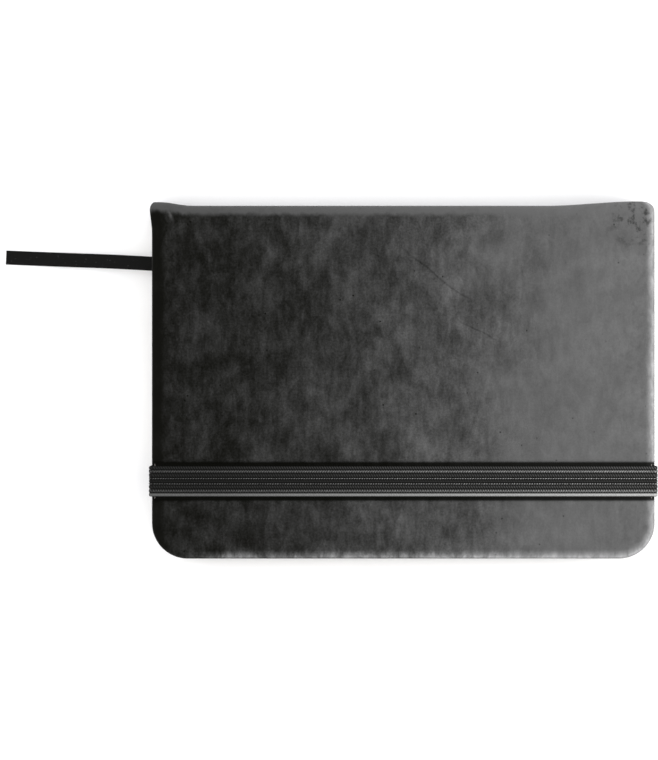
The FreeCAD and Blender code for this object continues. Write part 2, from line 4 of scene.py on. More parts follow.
import bpy
import numpy as np
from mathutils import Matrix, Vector


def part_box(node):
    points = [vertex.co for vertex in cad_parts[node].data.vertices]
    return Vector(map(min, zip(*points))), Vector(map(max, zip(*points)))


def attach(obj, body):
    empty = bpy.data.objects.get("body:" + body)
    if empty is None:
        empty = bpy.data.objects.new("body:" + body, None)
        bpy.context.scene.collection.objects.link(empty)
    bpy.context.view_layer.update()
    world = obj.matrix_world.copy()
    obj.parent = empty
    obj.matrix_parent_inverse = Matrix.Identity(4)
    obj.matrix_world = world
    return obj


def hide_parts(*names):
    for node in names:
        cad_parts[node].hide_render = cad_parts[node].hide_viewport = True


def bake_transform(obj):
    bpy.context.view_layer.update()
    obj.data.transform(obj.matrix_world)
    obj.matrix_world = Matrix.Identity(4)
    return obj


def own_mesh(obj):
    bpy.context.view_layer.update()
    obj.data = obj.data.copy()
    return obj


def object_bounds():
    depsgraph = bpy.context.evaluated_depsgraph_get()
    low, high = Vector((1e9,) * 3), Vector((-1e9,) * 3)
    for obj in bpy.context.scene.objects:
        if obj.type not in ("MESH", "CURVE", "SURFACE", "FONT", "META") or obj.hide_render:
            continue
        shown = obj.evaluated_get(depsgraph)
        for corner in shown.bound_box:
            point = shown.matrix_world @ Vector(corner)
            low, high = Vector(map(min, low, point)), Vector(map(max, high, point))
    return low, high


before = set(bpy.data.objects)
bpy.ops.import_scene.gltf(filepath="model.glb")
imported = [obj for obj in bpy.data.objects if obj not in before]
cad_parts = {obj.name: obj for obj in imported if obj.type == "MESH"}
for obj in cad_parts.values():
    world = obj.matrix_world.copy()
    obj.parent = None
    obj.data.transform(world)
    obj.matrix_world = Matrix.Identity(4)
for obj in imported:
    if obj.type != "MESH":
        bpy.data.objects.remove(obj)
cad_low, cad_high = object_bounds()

# ---------------------------------------------------------------------------------------------
# The table top and the light.
# A pale plain surface with soft boxes beside the notebook and a long lens straight above it, so
# that the grain of the cover is lit from the side and the surface under it stays white.
# ---------------------------------------------------------------------------------------------

mm = 0.001
table_reach = 4.0
lens_height = 744 * mm

bpy.ops.mesh.primitive_plane_add(size=table_reach)
table_top = bpy.context.object
table_top.name = "table_top"

table_paint = bpy.data.materials.new("pale_table")
table_paint.use_nodes = True
table_shader = table_paint.node_tree.nodes["Principled BSDF"]
table_shader.inputs["Base Color"].default_value = (0.96, 0.96, 0.96, 1)
table_shader.inputs["Roughness"].default_value = 0.9
table_shader.inputs["Specular IOR Level"].default_value = 0.1
table_top.data.materials.append(table_paint)

camera_data = bpy.data.cameras.new("above")
camera_data.lens = 120
camera_data.sensor_width = 36
camera_data.dof.use_dof = False
camera = bpy.data.objects.new("above", camera_data)
middle = (cad_low + cad_high) / 2
camera.location = (middle.x, 0.6 * mm, cad_high.z + lens_height)
bpy.context.collection.objects.link(camera)
bpy.context.scene.camera = camera


def soft_box(name, place, aim, width, height, watts):
    """A soft rectangular lamp at a place, turned to face a point."""
    lamp = bpy.data.lights.new(name, "AREA")
    lamp.shape = "RECTANGLE"
    lamp.size = width
    lamp.size_y = height
    lamp.energy = watts
    holder = bpy.data.objects.new(name, lamp)
    holder.location = place
    holder.rotation_mode = "QUATERNION"
    holder.rotation_quaternion = (Vector(aim) - Vector(place)).to_track_quat("-Z", "Y")
    holder.visible_camera = False
    bpy.context.collection.objects.link(holder)


soft_box("head_side", (0.26, -0.02, 0.13), (0, 0, 0), 0.10, 0.34, 0.52)
soft_box("fore_edge_side", (0.02, -0.55, 0.17), (0, 0, 0), 0.70, 0.12, 0.9)
soft_box("spine_side", (-0.03, 0.55, 0.16), (0, 0, 0), 0.70, 0.12, 1.6)
soft_box("tail_side", (-0.40, 0.05, 0.60), (-0.08, 0, 0), 0.40, 0.50, 1.8)

sky = bpy.data.worlds.new("pale_room")
bpy.context.scene.world = sky
sky.use_nodes = True
sky.node_tree.nodes["Background"].inputs["Color"].default_value = (0.98, 0.98, 1.0, 1)
sky.node_tree.nodes["Background"].inputs["Strength"].default_value = 0.84
bpy.context.scene.view_settings.view_transform = "Standard"

# ---------------------------------------------------------------------------------------------
# The ribbon marker's free end.
# A single-face satin ribbon, woven 4.2 mm wide and cut square. It leaves the tail edge between
# the two halves of the block, drops to the table and lies flat there.
# ---------------------------------------------------------------------------------------------

ribbon_width = 4.2 * mm
ribbon_thickness = 0.2 * mm
ribbon_route = [
    (-0.07252, 0.0350, 0.00707),
    (-0.0790, 0.0354, 0.00680),
    (-0.0875, 0.0359, 0.00510),
    (-0.0960, 0.0363, 0.00240),
    (-0.1045, 0.0367, 0.00055),
    (-0.1117, 0.0370, 0.00013),
    (-0.1186, 0.0373, 0.00012),
]


def finish_mesh(name, points, faces, smooth=True):
    """A mesh object at the origin from plain points and faces, with its faces pointing out."""
    mesh = bpy.data.meshes.new(name)
    mesh.from_pydata([tuple(point) for point in points], [], faces)
    mesh.update()
    piece = bpy.data.objects.new(name, mesh)
    bpy.context.collection.objects.link(piece)
    if smooth:
        mesh.shade_smooth()
        mesh.set_sharp_from_angle(angle=math.radians(40))
    return piece


def keep_coordinates(piece, name, values):
    """Stores a place on the flat material with each point, for patterns that follow the piece."""
    attribute = piece.data.attributes.new(name, "FLOAT_VECTOR", "POINT")
    attribute.data.foreach_set("vector", np.asarray(values, np.float32).ravel())


def new_material(name, roughness, specular=0.3):
    """A named surface and the node that shades it."""
    material = bpy.data.materials.new(name)
    material.use_nodes = True
    shader = material.node_tree.nodes["Principled BSDF"]
    shader.inputs["Roughness"].default_value = roughness
    shader.inputs["Specular IOR Level"].default_value = specular
    return material, shader


def node(material, kind, settings=None, **inputs):
    """Adds a node; an input is a plain value, or another node's output that it is joined to."""
    tree = material.node_tree
    made = tree.nodes.new("ShaderNode" + kind)
    for key, value in (settings or {}).items():
        setattr(made, key, value)
    for key, value in inputs.items():
        place = int(key[1:]) if key[0] == "i" and key[1:].isdigit() else key.replace("_", " ")
        if isinstance(value, bpy.types.NodeSocket):
            tree.links.new(value, made.inputs[place])
        else:
            made.inputs[place].default_value = value
    return made


def maths(operation, first, second=0.0, third=0.0):
    """Works out a value in the node tree that its inputs come from."""
    values = (first, second, third)
    tree = next(value.id_data for value in values if isinstance(value, bpy.types.NodeSocket))
    made = tree.nodes.new("ShaderNodeMath")
    made.operation = operation
    for place, value in enumerate(values):
        if isinstance(value, bpy.types.NodeSocket):
            tree.links.new(value, made.inputs[place])
        else:
            made.inputs[place].default_value = value
    return made.outputs[0]


def set_bump(material, shader, height, distance, strength=1.0):
    """Raises the surface by a height from 0 to 1, over a distance in metres."""
    bump = node(material, "Bump", Height=height, Distance=distance, Strength=strength)
    material.node_tree.links.new(bump.outputs["Normal"], shader.inputs["Normal"])


def colour_between(material, shader, amount, dark, light):
    """Shades from one colour to another by an amount from 0 to 1."""
    ramp = node(material, "ValToRGB", i0=amount)
    ramp.color_ramp.elements[0].color = (*dark, 1)
    ramp.color_ramp.elements[1].color = (*light, 1)
    material.node_tree.links.new(ramp.outputs["Color"], shader.inputs["Base Color"])
    return ramp


def satin_ribbon():
    """Black satin: fine weft ribs across, with a few paler flecks where threads are broken."""
    material, shader = new_material("ribbon_satin", 0.6, 0.04)
    place = node(material, "Attribute", {"attribute_name": "along_across"}).outputs["Vector"]
    split = node(material, "SeparateXYZ", i0=place)
    weft = maths("SINE", maths("MULTIPLY", split.outputs["X"], 2 * math.pi / (0.24 * mm)))
    warp = maths("SINE", maths("MULTIPLY", split.outputs["Y"], 2 * math.pi / (0.3 * mm)))
    weave = maths("MULTIPLY", weft, warp)
    flecks = node(material, "TexNoise", Vector=place, Scale=1400.0, Detail=3.0).outputs[0]
    fleck = node(material, "MapRange", Value=flecks, From_Min=0.66, From_Max=0.74)
    tone = maths("MULTIPLY_ADD", weave, 0.03, 0.03)
    tone = maths("MULTIPLY_ADD", fleck.outputs[0], 0.5, tone)
    colour_between(material, shader, tone, (0.003, 0.003, 0.0027), (0.09, 0.09, 0.09))
    set_bump(material, shader, weave, 0.02 * mm, 0.4)
    return material


ribbon_satin = satin_ribbon()


def smooth_line(name, route, resolution):
    """Points along the smooth curve that the given route controls, in metres."""
    curve = bpy.data.curves.new(name, "CURVE")
    curve.dimensions = "3D"
    spline = curve.splines.new("NURBS")
    spline.points.add(len(route) - 1)
    for point, place in zip(spline.points, route):
        point.co = (*place, 1)
    spline.order_u = 3
    spline.use_endpoint_u = True
    curve.resolution_u = resolution
    holder = bpy.data.objects.new(name, curve)
    bpy.context.collection.objects.link(holder)
    bpy.context.view_layer.update()
    line = bpy.data.meshes.new_from_object(holder.evaluated_get(
        bpy.context.evaluated_depsgraph_get()))
    points = [vertex.co.copy() for vertex in line.vertices]
    bpy.data.objects.remove(holder)
    bpy.data.meshes.remove(line)
    return points


def tube_faces(ring, row_count):
    """Faces of a closed tube whose rows have the same number of points, with both its ends."""
    faces = []
    for row in range(row_count - 1):
        first, second = row * ring, (row + 1) * ring
        for column in range(ring):
            following = (column + 1) % ring
            faces.append((first + column, second + column, second + following, first + following))
    faces.append(tuple(range(ring)))
    last = (row_count - 1) * ring
    faces.append(tuple(last + column for column in reversed(range(ring))))
    return faces


def ribbon_strip(name, points):
    """A flat woven strip along a line, its width level, a little fuller at its two selvedges."""
    profile = []
    half = ribbon_width / 2
    for across in np.linspace(-1, 1, 13):
        full = 0.62 + 0.38 * (abs(across) > 0.8)
        profile.append((across * half, ribbon_thickness / 2 * full))
    outline = profile + [(across, -height) for across, height in reversed(profile)]
    vertices, coordinates = [], []
    run = 0.0
    for index, point in enumerate(points):
        before = points[max(index - 1, 0)]
        after = points[min(index + 1, len(points) - 1)]
        along = (after - before).normalized()
        across = Vector((-along.y, along.x, 0)).normalized()
        up = along.cross(across)
        run += (point - before).length if index else 0.0
        for offset, height in outline:
            vertices.append(point + across * offset + up * height)
            coordinates.append((run, offset, 0))
    strip = finish_mesh(name, vertices, tube_faces(len(outline), len(points)))
    keep_coordinates(strip, "along_across", coordinates)
    strip.data.materials.append(ribbon_satin)
    return strip


tail_line = smooth_line("ribbon_tail_line", ribbon_route, 14)
ribbon_end = ribbon_strip("ribbon_free_end", tail_line)
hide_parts("ribbon_tail")
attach(ribbon_end, "back_cover")

# ---------------------------------------------------------------------------------------------
# The ribbon between the pages, and its glued root.
# The same ribbon lies on the rear half of the block and slants from the head of the spine to the
# tail edge. Its end is glued flat behind the folds, under the lining.
# ---------------------------------------------------------------------------------------------

inner_low, inner_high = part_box("ribbon_inner")
inner_height = (inner_low.z + inner_high.z) / 2
inner_tail = Vector((inner_low.x, inner_low.y + ribbon_width / 2, inner_height))
inner_head = Vector((inner_high.x, inner_high.y - ribbon_width / 2, inner_height))
inner_line = [inner_tail.lerp(inner_head, share) for share in np.linspace(0, 1, 60)]
ribbon_between = ribbon_strip("ribbon_between_pages", inner_line)
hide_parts("ribbon_inner")
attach(ribbon_between, "back_cover")

root_surfaces = bpy.data.objects["ribbon_root"].data.materials
root_surfaces.clear()
root_surfaces.append(ribbon_satin)

# ---------------------------------------------------------------------------------------------
# The leatherette cover.
# One sheet of soft, suede-faced leatherette, glued over both boards and the spine strip. Its
# edges are folded over the boards and turned in, pleated round the two corners of each panel,
# and the spine ends stand out a little where the fold is thickest.
# ---------------------------------------------------------------------------------------------

skin_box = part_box("front_cover_leather")
spine_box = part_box("spine_leather")
half_length = skin_box[1].x
fore_reach = -skin_box[0].y
spine_reach = spine_box[1].y
book_height = spine_box[1].z
tray_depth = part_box("back_cover_leather")[1].z
shoulder = 2.5 * mm
corner = 10.5 * mm
sheet_thickness = 0.2 * mm
turn_in_reach = 9 * mm
spine_fold_depth = 0.7 * mm
pillow_drop = 0.5 * mm
pillow_reach = 3.4 * mm
flare_start = 44 * mm
cap_start = 48.6 * mm
tail_flare = 1.1 * mm
head_flare = 1.3 * mm
# tones of the painted light ramp across the cover: dark at the tail, lighter at the head, where the
# lamp is
painted_light_at_tail = 0.135
painted_light_at_head = 0.43

elastic_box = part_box("elastic_band")
elastic_across = (elastic_box[0].y + elastic_box[1].y) / 2
elastic_width = elastic_box[1].y - elastic_box[0].y
dent_depth = 0.55 * mm
dent_gap = 0.35 * mm
dent_slope = 1.5 * mm

spine_flat = book_height / 2 - shoulder
shoulder_run = shoulder * math.pi / 2
panel_start = spine_flat + shoulder_run
panel_back = spine_reach - shoulder
girth = panel_start + panel_back + fore_reach
seam_back = 0.0
seam_front = spine_flat + shoulder_run / 2


def ease(share):
    """Rises smoothly from 0 to 1 as the share does, and is level outside that range."""
    share = np.clip(share, 0, 1)
    return share * share * (3 - 2 * share)


def panel_share(run):
    """1 over the boards and 0 on the spine, where there is no board inside the fold."""
    return ease((abs(run) - panel_start + 1.6 * mm) / (3.2 * mm))


def wrap(x, run, depth):
    """Place of a point of the flat sheet: along the book, round its girth, and below its face."""
    side = 1 if run >= 0 else -1
    away = abs(run)
    if away <= spine_flat:
        y, z, inward = spine_reach, away, (-1, 0)
    elif away < panel_start:
        turn = (away - spine_flat) / shoulder
        y = panel_back + shoulder * math.cos(turn)
        z = spine_flat + shoulder * math.sin(turn)
        inward = (-math.cos(turn), -math.sin(turn))
    else:
        y, z, inward = panel_back - (away - panel_start), book_height / 2, (0, -1)
    y += depth * inward[0]
    z += depth * inward[1]
    # spine ends stand out over the thick fold: sharply at the tail, in a long sweep at the head
    reach_share = float(ease((y - flare_start) / (7 * mm)))
    cap_share = max(0.0, (y - cap_start) / (spine_reach - cap_start)) ** 2.4
    if x < 0:
        y += tail_flare * reach_share * float(ease((-x - 62 * mm) / (10 * mm)))
        tip_share = float(ease((-x - 68 * mm) / (6 * mm)))
        x -= mm * tip_share * (0.75 * reach_share - 1.1 * cap_share)
    else:
        y += head_flare * reach_share * float(ease((x - 42 * mm) / (27 * mm)))
        tip_share = float(ease((x - 64 * mm) / (10 * mm)))
        x -= 1.9 * mm * tip_share * cap_share
        y -= 0.5 * mm * cap_share * float(ease((x - 70 * mm) / (4 * mm)))
    return x, y, book_height / 2 + side * z


def edge_distance(x, run):
    """How far a place on the sheet lies inside its rounded outline."""
    to_side = half_length - abs(x)
    to_end = girth - abs(run)
    if to_side < corner and to_end < corner:
        return max(corner - math.hypot(corner - to_side, corner - to_end), 0.0)
    return max(min(to_side, to_end), 0.0)


def face_depth(x, run):
    """How far the outer face lies below the panel's plane: soft edges, dent and unevenness."""
    inset = edge_distance(x, run)
    share = float(panel_share(run))
    depth = pillow_drop * share * max(0.0, 1 - inset / pillow_reach) ** 2
    if run > panel_start:
        across = panel_back - (run - panel_start)
        beside = abs(across - elastic_across) - elastic_width / 2
        depth += dent_depth * (1 - float(ease((beside - dent_gap) / dent_slope)))
    wave = math.sin(x * 61 + run * 23) * math.cos(run * 71 - x * 17)
    return depth + 0.035 * mm * share * wave * min(1.0, inset / (8 * mm))


def fold_profile(run):
    """Steps over the edge, as pairs of inset and depth: rounded outside, wall, turned-in flange."""
    share = float(panel_share(run))
    depth = spine_fold_depth + (tray_depth - spine_fold_depth) * share
    outer = 0.35 * mm + 0.65 * mm * share
    inner = 0.28 * mm
    steps = []
    for turn in np.linspace(0, math.pi / 2, 6)[1:]:
        steps.append((outer * (1 - math.sin(turn)), outer * (1 - math.cos(turn))))
    for turn in np.linspace(0, math.pi / 2, 5):
        steps.append((inner * (1 - math.cos(turn)), depth - inner + inner * math.sin(turn)))
    for reach in (0.7 * mm, 1.2 * mm, 1.9 * mm, 3.5 * mm, turn_in_reach):
        steps.append((reach, depth))
    return outer, steps


def girth_rows():
    """Rows across the sheet from the spine's middle to one fore edge: finer where it bends."""
    corner_start = girth - corner
    rows = list(np.linspace(0, spine_flat, 4))
    rows += list(np.linspace(spine_flat, panel_start, 13)[1:])
    dent_middle = panel_start + panel_back - elastic_across
    dent_reach = elastic_width / 2 + dent_gap + dent_slope + 0.3 * mm
    dent_from, dent_to = dent_middle - dent_reach, dent_middle + dent_reach
    rows += list(np.arange(panel_start + 0.8 * mm, panel_start + 8 * mm, 0.8 * mm))
    rows += list(np.arange(panel_start + 8.2 * mm, dent_from - 1 * mm, 1.7 * mm))
    rows += list(np.linspace(dent_from, dent_to, 44))
    rows += list(np.arange(dent_to + 0.8 * mm, corner_start - 0.3 * mm, 0.8 * mm))
    outer = fold_profile(girth)[0]
    angles = np.linspace(0, math.pi / 2, 25)
    rows += [corner_start + (corner - outer) * math.sin(angle) for angle in angles]
    return rows


half_rows = girth_rows()
rows = [-row for row in reversed(half_rows[1:])] + half_rows
edge_steps = np.array([0, 0.25, 0.55, 0.9, 1.3, 1.8, 2.4, 3.1, 4.0]) * mm / half_length
columns = list(-1 + edge_steps) + list(np.linspace(-0.93, 0.93, 82)) + list(1 - edge_steps[::-1])


def row_reach(run, inset):
    """Half the sheet's width at a row, that far inside its outline."""
    past = abs(run) - (girth - corner)
    if past <= 0:
        return half_length - inset
    radius = corner - inset
    return half_length - corner + math.sqrt(max(radius * radius - past * past, 0.0))


def build_sheet():
    """Outer face of the sheet with its folded edges: points, flat places, edges, faces, rows."""
    points, flat, edges, faces, face_rows = [], [], [], [], []
    wide = len(columns)
    tall = len(rows)
    for run in rows:
        outer, _ = fold_profile(run)
        reach = row_reach(run, outer)
        for share in columns:
            x = share * reach
            depth = face_depth(x, run)
            points.append(wrap(x, run, depth))
            flat.append((x, run, depth))
            edges.append((edge_distance(x, run), 0.0, 0.0))
    for row in range(tall - 1):
        for column in range(wide - 1):
            low = row * wide + column
            faces.append((low, low + 1, low + wide + 1, low + wide))
            face_rows.append((rows[row] + rows[row + 1]) / 2)

    border = [(row, wide - 1) for row in range(tall)]
    border += [(tall - 1, column) for column in range(wide - 2, -1, -1)]
    border += [(row, 0) for row in range(tall - 2, -1, -1)]
    border += [(0, column) for column in range(1, wide - 1)]
    ring = [row * wide + column for row, column in border]
    step_count = len(fold_profile(0)[1])
    for step in range(step_count):
        new_ring = []
        for row, column in border:
            run = rows[row]
            side = 1 if column == wide - 1 else -1
            end = 1 if run > 0 else -1
            outer, steps = fold_profile(run)
            inset, fold_depth = steps[step]
            past = abs(run) - (girth - corner)
            pleat = 0.0
            if column not in (0, wide - 1):
                at_x = columns[column] * row_reach(run, outer)
                at_run = end * (girth - inset)
            elif past > 0:
                angle = math.asin(min(past / (corner - outer), 1.0))
                at_x = side * (half_length - corner + (corner - inset) * math.cos(angle))
                at_run = end * (girth - corner + (corner - inset) * math.sin(angle))
                if 0.2 * mm < inset < 2 * mm and fold_depth > 1.5 * mm:
                    pleat = 0.09 * mm * abs(math.sin(angle * 9)) * math.sin(2 * angle)
            else:
                at_x = side * (half_length - inset)
                at_run = run
            sunk = face_depth(at_x, at_run) * (1 - fold_depth / steps[-1][1])
            depth = max(fold_depth + sunk, 0.0) + pleat
            new_ring.append(len(points))
            points.append(wrap(at_x, at_run, depth))
            flat.append((at_x, at_run, depth))
            edges.append((0.0, depth, 0.0))
        for place in range(len(border)):
            following = (place + 1) % len(border)
            faces.append((ring[place], new_ring[place], new_ring[following], ring[following]))
            face_rows.append((rows[border[place][0]] + rows[border[following][0]]) / 2)
        ring = new_ring
    return points, flat, edges, faces, face_rows


def sheet_normals(points, faces):
    """Directions of the whole sheet's points, kept so that its cut parts shade as one."""
    mesh = bpy.data.meshes.new("whole_sheet")
    mesh.from_pydata(points, [], faces)
    mesh.update()
    normals = [vertex.normal.copy() for vertex in mesh.vertices]
    bpy.data.meshes.remove(mesh)
    return normals


def cut_piece(name, points, flat, edges, faces, normals):
    """One part of the sheet, given its thickness and closed all round, shaded as one surface."""
    used = sorted({index for face in faces for index in face})
    renumber = {index: place for place, index in enumerate(used)}
    count = len(used)
    outside = [Vector(points[index]) for index in used]
    outward = [normals[index] for index in used]
    inside = [point - normal * sheet_thickness for point, normal in zip(outside, outward)]
    outer_faces = [tuple(renumber[index] for index in face) for face in faces]
    inner_faces = [tuple(index + count for index in reversed(face)) for face in outer_faces]
    edge_use = {}
    for face in outer_faces:
        for start, end in zip(face, face[1:] + face[:1]):
            edge_use.setdefault(frozenset((start, end)), []).append((start, end))
    rim = [
        (pairs[0][1], pairs[0][0], pairs[0][0] + count, pairs[0][1] + count)
        for pairs in edge_use.values() if len(pairs) == 1
    ]
    piece = finish_mesh(name, outside + inside, outer_faces + inner_faces + rim, smooth=False)
    piece.data.shade_smooth()
    places = [flat[index] for index in used]
    keep_coordinates(piece, "sheet_place", places + places)
    edge_places = [edges[index] for index in used]
    keep_coordinates(piece, "from_edge", edge_places + edge_places)
    loops = []
    for polygon in piece.data.polygons:
        for index in polygon.vertices:
            if polygon.index < len(outer_faces):
                loops.append(outward[index])
            elif polygon.index < 2 * len(outer_faces):
                loops.append(-outward[index - count])
            else:
                loops.append(polygon.normal.copy())
    piece.data.normals_split_custom_set(loops)
    return piece


def suede_leatherette():
    """Charcoal suede face with blotches, streaks and creases. Painted light: a tone ramp from the
    dark tail to the lit head, painted highlights on the fore edge, head and shoulders, painted
    shade in the creases and beside the elastic."""
    material, shader = new_material("suede_leatherette", 0.7, 0.06)
    place = node(material, "Attribute", {"attribute_name": "sheet_place"}).outputs["Vector"]
    edge = node(material, "Attribute", {"attribute_name": "from_edge"}).outputs["Vector"]
    split = node(material, "SeparateXYZ", i0=place)
    along, run = split.outputs["X"], split.outputs["Y"]
    inset = node(material, "SeparateXYZ", i0=edge).outputs["X"]
    drawn = node(material, "Mapping", Vector=place, Scale=(1.0, 0.38, 1.0)).outputs[0]

    def spread(texture, low, high):
        """Stretches a noise so that it reaches from -0.5 to 0.5."""
        return node(material, "MapRange", Value=texture, From_Min=low, From_Max=high,
                    To_Min=-0.5, To_Max=0.5).outputs[0]

    def fade(value, start, end, first=0.0, last=1.0):
        """Goes smoothly from the first amount to the last between two values."""
        return node(material, "MapRange", {"interpolation_type": "SMOOTHSTEP"}, Value=value,
                    From_Min=start, From_Max=end, To_Min=first, To_Max=last).outputs[0]

    drift = node(material, "TexNoise", Vector=place, Scale=38.0, Detail=3.0).outputs[0]
    # painted light: the tone rises from the tail to the head, along a wavering line
    wavering = maths("MULTIPLY_ADD", maths("SUBTRACT", drift, 0.5), 0.07, along)
    painted_light_ramp = fade(wavering, -72 * mm, 72 * mm, painted_light_at_tail, painted_light_at_head)
    blotches = spread(node(material, "TexNoise", Vector=place, Scale=105.0, Detail=5.0,
                           Roughness=0.6, Distortion=0.4).outputs[0], 0.36, 0.64)
    streaks = spread(node(material, "TexNoise", Vector=drawn, Scale=420.0, Detail=6.0,
                          Roughness=0.68, Distortion=0.3).outputs[0], 0.34, 0.66)
    grain = spread(node(material, "TexNoise", Vector=place, Scale=1500.0, Detail=4.0,
                        Roughness=0.75).outputs[0], 0.34, 0.66)
    calm = fade(wavering, 5 * mm, 50 * mm, 1.0, 0.4)
    mottle = maths("MULTIPLY_ADD", streaks, 0.1, maths("MULTIPLY", blotches, 0.09))
    mottle = maths("MULTIPLY_ADD", grain, 0.075, mottle)
    tone = maths("MULTIPLY_ADD", mottle, calm, painted_light_ramp)

    pores = node(material, "TexVoronoi", Vector=place, Scale=230.0).outputs["Distance"]
    pinholes = node(material, "MapRange", Value=pores, From_Min=0.03, From_Max=0.08,
                    To_Min=1.0, To_Max=0.0).outputs[0]
    pinholes = maths("MULTIPLY", pinholes, fade(blotches, -0.4, 0.3))
    tone = maths("MULTIPLY_ADD", pinholes, -0.2, tone)

    def crease(start, end, breadth):
        """Mask of a short crease between two places on the front panel, in mm, for its relief and
        for painted shade or a painted highlight along it.
        """
        (x0, y0), (x1, y1) = start, end
        run0, run1 = (panel_start + panel_back - y * mm for y in (y0, y1))
        length = math.hypot((x1 - x0) * mm, run1 - run0)
        ux, ur = (x1 - x0) * mm / length, (run1 - run0) / length
        dx = maths("SUBTRACT", along, x0 * mm)
        dr = maths("SUBTRACT", run, run0)
        forward = maths("MULTIPLY_ADD", dr, ur, maths("MULTIPLY", dx, ux))
        aside = maths("MULTIPLY_ADD", dr, -ux, maths("MULTIPLY", dx, ur))
        wander = maths("MULTIPLY_ADD", maths("SUBTRACT", drift, 0.5), 0.006, aside)
        thin = fade(maths("ABSOLUTE", wander), 0.0, breadth, 1.0, 0.0)
        off_end = maths("ABSOLUTE", maths("SUBTRACT", forward, length / 2))
        short = fade(off_end, length * 0.2, length * 0.6, 1.0, 0.0)
        return maths("MULTIPLY", thin, short)

    # painted shade in the creases and in broad bands along them
    creases = maths("ADD", crease((-1, 40), (21, 23), 0.5 * mm),
                         crease((16, 18), (28, 11), 0.45 * mm))
    shade = maths("ADD", crease((-12, 38), (12, 20), 7 * mm), crease((4, 20), (24, 6), 5 * mm))
    tone = maths("MULTIPLY_ADD", creases, -0.06, tone)
    # painted highlight on a small wrinkle at the tail end of the shoulder
    painted_wrinkle_highlight = crease((-69.0, 50.6), (-67.3, 47.2), 1.1 * mm)
    tone = maths("MULTIPLY_ADD", painted_wrinkle_highlight, 0.15, tone)
    tone = maths("MULTIPLY_ADD", shade, -0.035, tone)

    # painted rim light along the fore edge and the head, on the rounded edges that face the lamps,
    # in short streaks
    to_fore = maths("SUBTRACT", girth, maths("ABSOLUTE", run))
    to_head = maths("SUBTRACT", half_length, along)
    lit_edge_side = maths("MAXIMUM", fade(to_fore, 2 * mm, 9 * mm, 1.0, 0.0),
                             fade(to_head, 2 * mm, 9 * mm, 1.0, 0.0))
    not_tail = fade(along, -68 * mm, -52 * mm)
    painted_rim_light = maths("MULTIPLY", fade(inset, 0.2 * mm, 3.0 * mm, 1.0, 0.0), lit_edge_side)
    painted_rim_light = maths("MULTIPLY", painted_rim_light, not_tail)
    painted_rim_light = maths("MULTIPLY", painted_rim_light, fade(
        node(material, "SeparateXYZ", i0=edge).outputs["Y"], 0.4 * mm, 1.4 * mm, 1.0, 0.2))
    painted_rim_light = maths("MULTIPLY", painted_rim_light, maths("MULTIPLY_ADD", streaks, 0.6, 0.85))
    tone = maths("MULTIPLY_ADD", painted_rim_light, 0.31, tone)

    # painted shade along the tail edge, the side turned away from the head lamp
    painted_tail_shade = fade(maths("ADD", along, half_length), 2.2 * mm, 4.4 * mm, 0.42, 1.0)
    tone = maths("MULTIPLY", tone, painted_tail_shade)

    # painted highlight over the spine and its rounded shoulders, where they turn to the spine-side
    # lamp, paler towards the head
    off_spine = maths("MULTIPLY_ADD", streaks, 0.9 * mm,
                      maths("SUBTRACT", maths("ABSOLUTE", run), panel_start))
    painted_shoulder_light = fade(off_spine, -0.6 * mm, 1.1 * mm, 1.0, 0.0)
    shoulder_light_tone = maths("MULTIPLY_ADD", along, 0.75, 0.385)
    lift = maths("MAXIMUM", maths("SUBTRACT", shoulder_light_tone, tone), 0.0)
    tone = maths("MULTIPLY_ADD", lift, painted_shoulder_light, tone)

    # a few dark scuffs within reach of the edges
    marks = node(material, "TexNoise", Vector=place, Scale=330.0, Detail=4.0,
                 Roughness=0.6).outputs[0]
    from_spine = maths("SUBTRACT", maths("ABSOLUTE", run), panel_start)
    handled = maths("MULTIPLY", fade(to_head, 6 * mm, 16 * mm, 1.0, 0.08),
                         fade(from_spine, 3 * mm, 12 * mm, 1.0, 0.12))
    scuffs = maths("MULTIPLY", fade(marks, 0.5, 0.64), handled)
    tone = maths("MULTIPLY_ADD", scuffs, -0.17, tone)

    # painted shadow on both sides of the elastic, in the dent it presses into the cover
    dent_run = panel_start + panel_back - elastic_across
    beside = maths("ABSOLUTE", maths("SUBTRACT", run, dent_run))
    painted_elastic_shadow = fade(beside, elastic_width / 2 + 0.75 * mm, elastic_width / 2 + 1.5 * mm, 0.3, 1.0)
    tone = maths("MULTIPLY", tone, painted_elastic_shadow)
    tone = maths("MAXIMUM", tone, 0.05)
    dye_and_painted_light = maths("MULTIPLY", maths("POWER", tone, 2.2), 0.64)
    warm = maths("SUBTRACT", dye_and_painted_light, 0.0010)
    colour = node(material, "CombineColor", Red=dye_and_painted_light, Green=dye_and_painted_light, Blue=warm)
    material.node_tree.links.new(colour.outputs[0], shader.inputs["Base Color"])
    relief = maths("MULTIPLY_ADD", creases, -1.5, grain)
    relief = maths("MULTIPLY_ADD", streaks, 0.6, relief)
    set_bump(material, shader, relief, 0.03 * mm, 0.5)
    shader.inputs["Sheen Weight"].default_value = 0.08
    shader.inputs["Sheen Roughness"].default_value = 0.4
    return material


leatherette = suede_leatherette()
sheet_points, sheet_flat, sheet_edges, sheet_faces, sheet_rows = build_sheet()
outward_normals = sheet_normals(sheet_points, sheet_faces)
spine_middle = len(rows) // 2 * len(columns) + len(columns) // 2
if outward_normals[spine_middle].y < 0:
    sheet_faces = [tuple(reversed(face)) for face in sheet_faces]
    outward_normals = [-normal for normal in outward_normals]

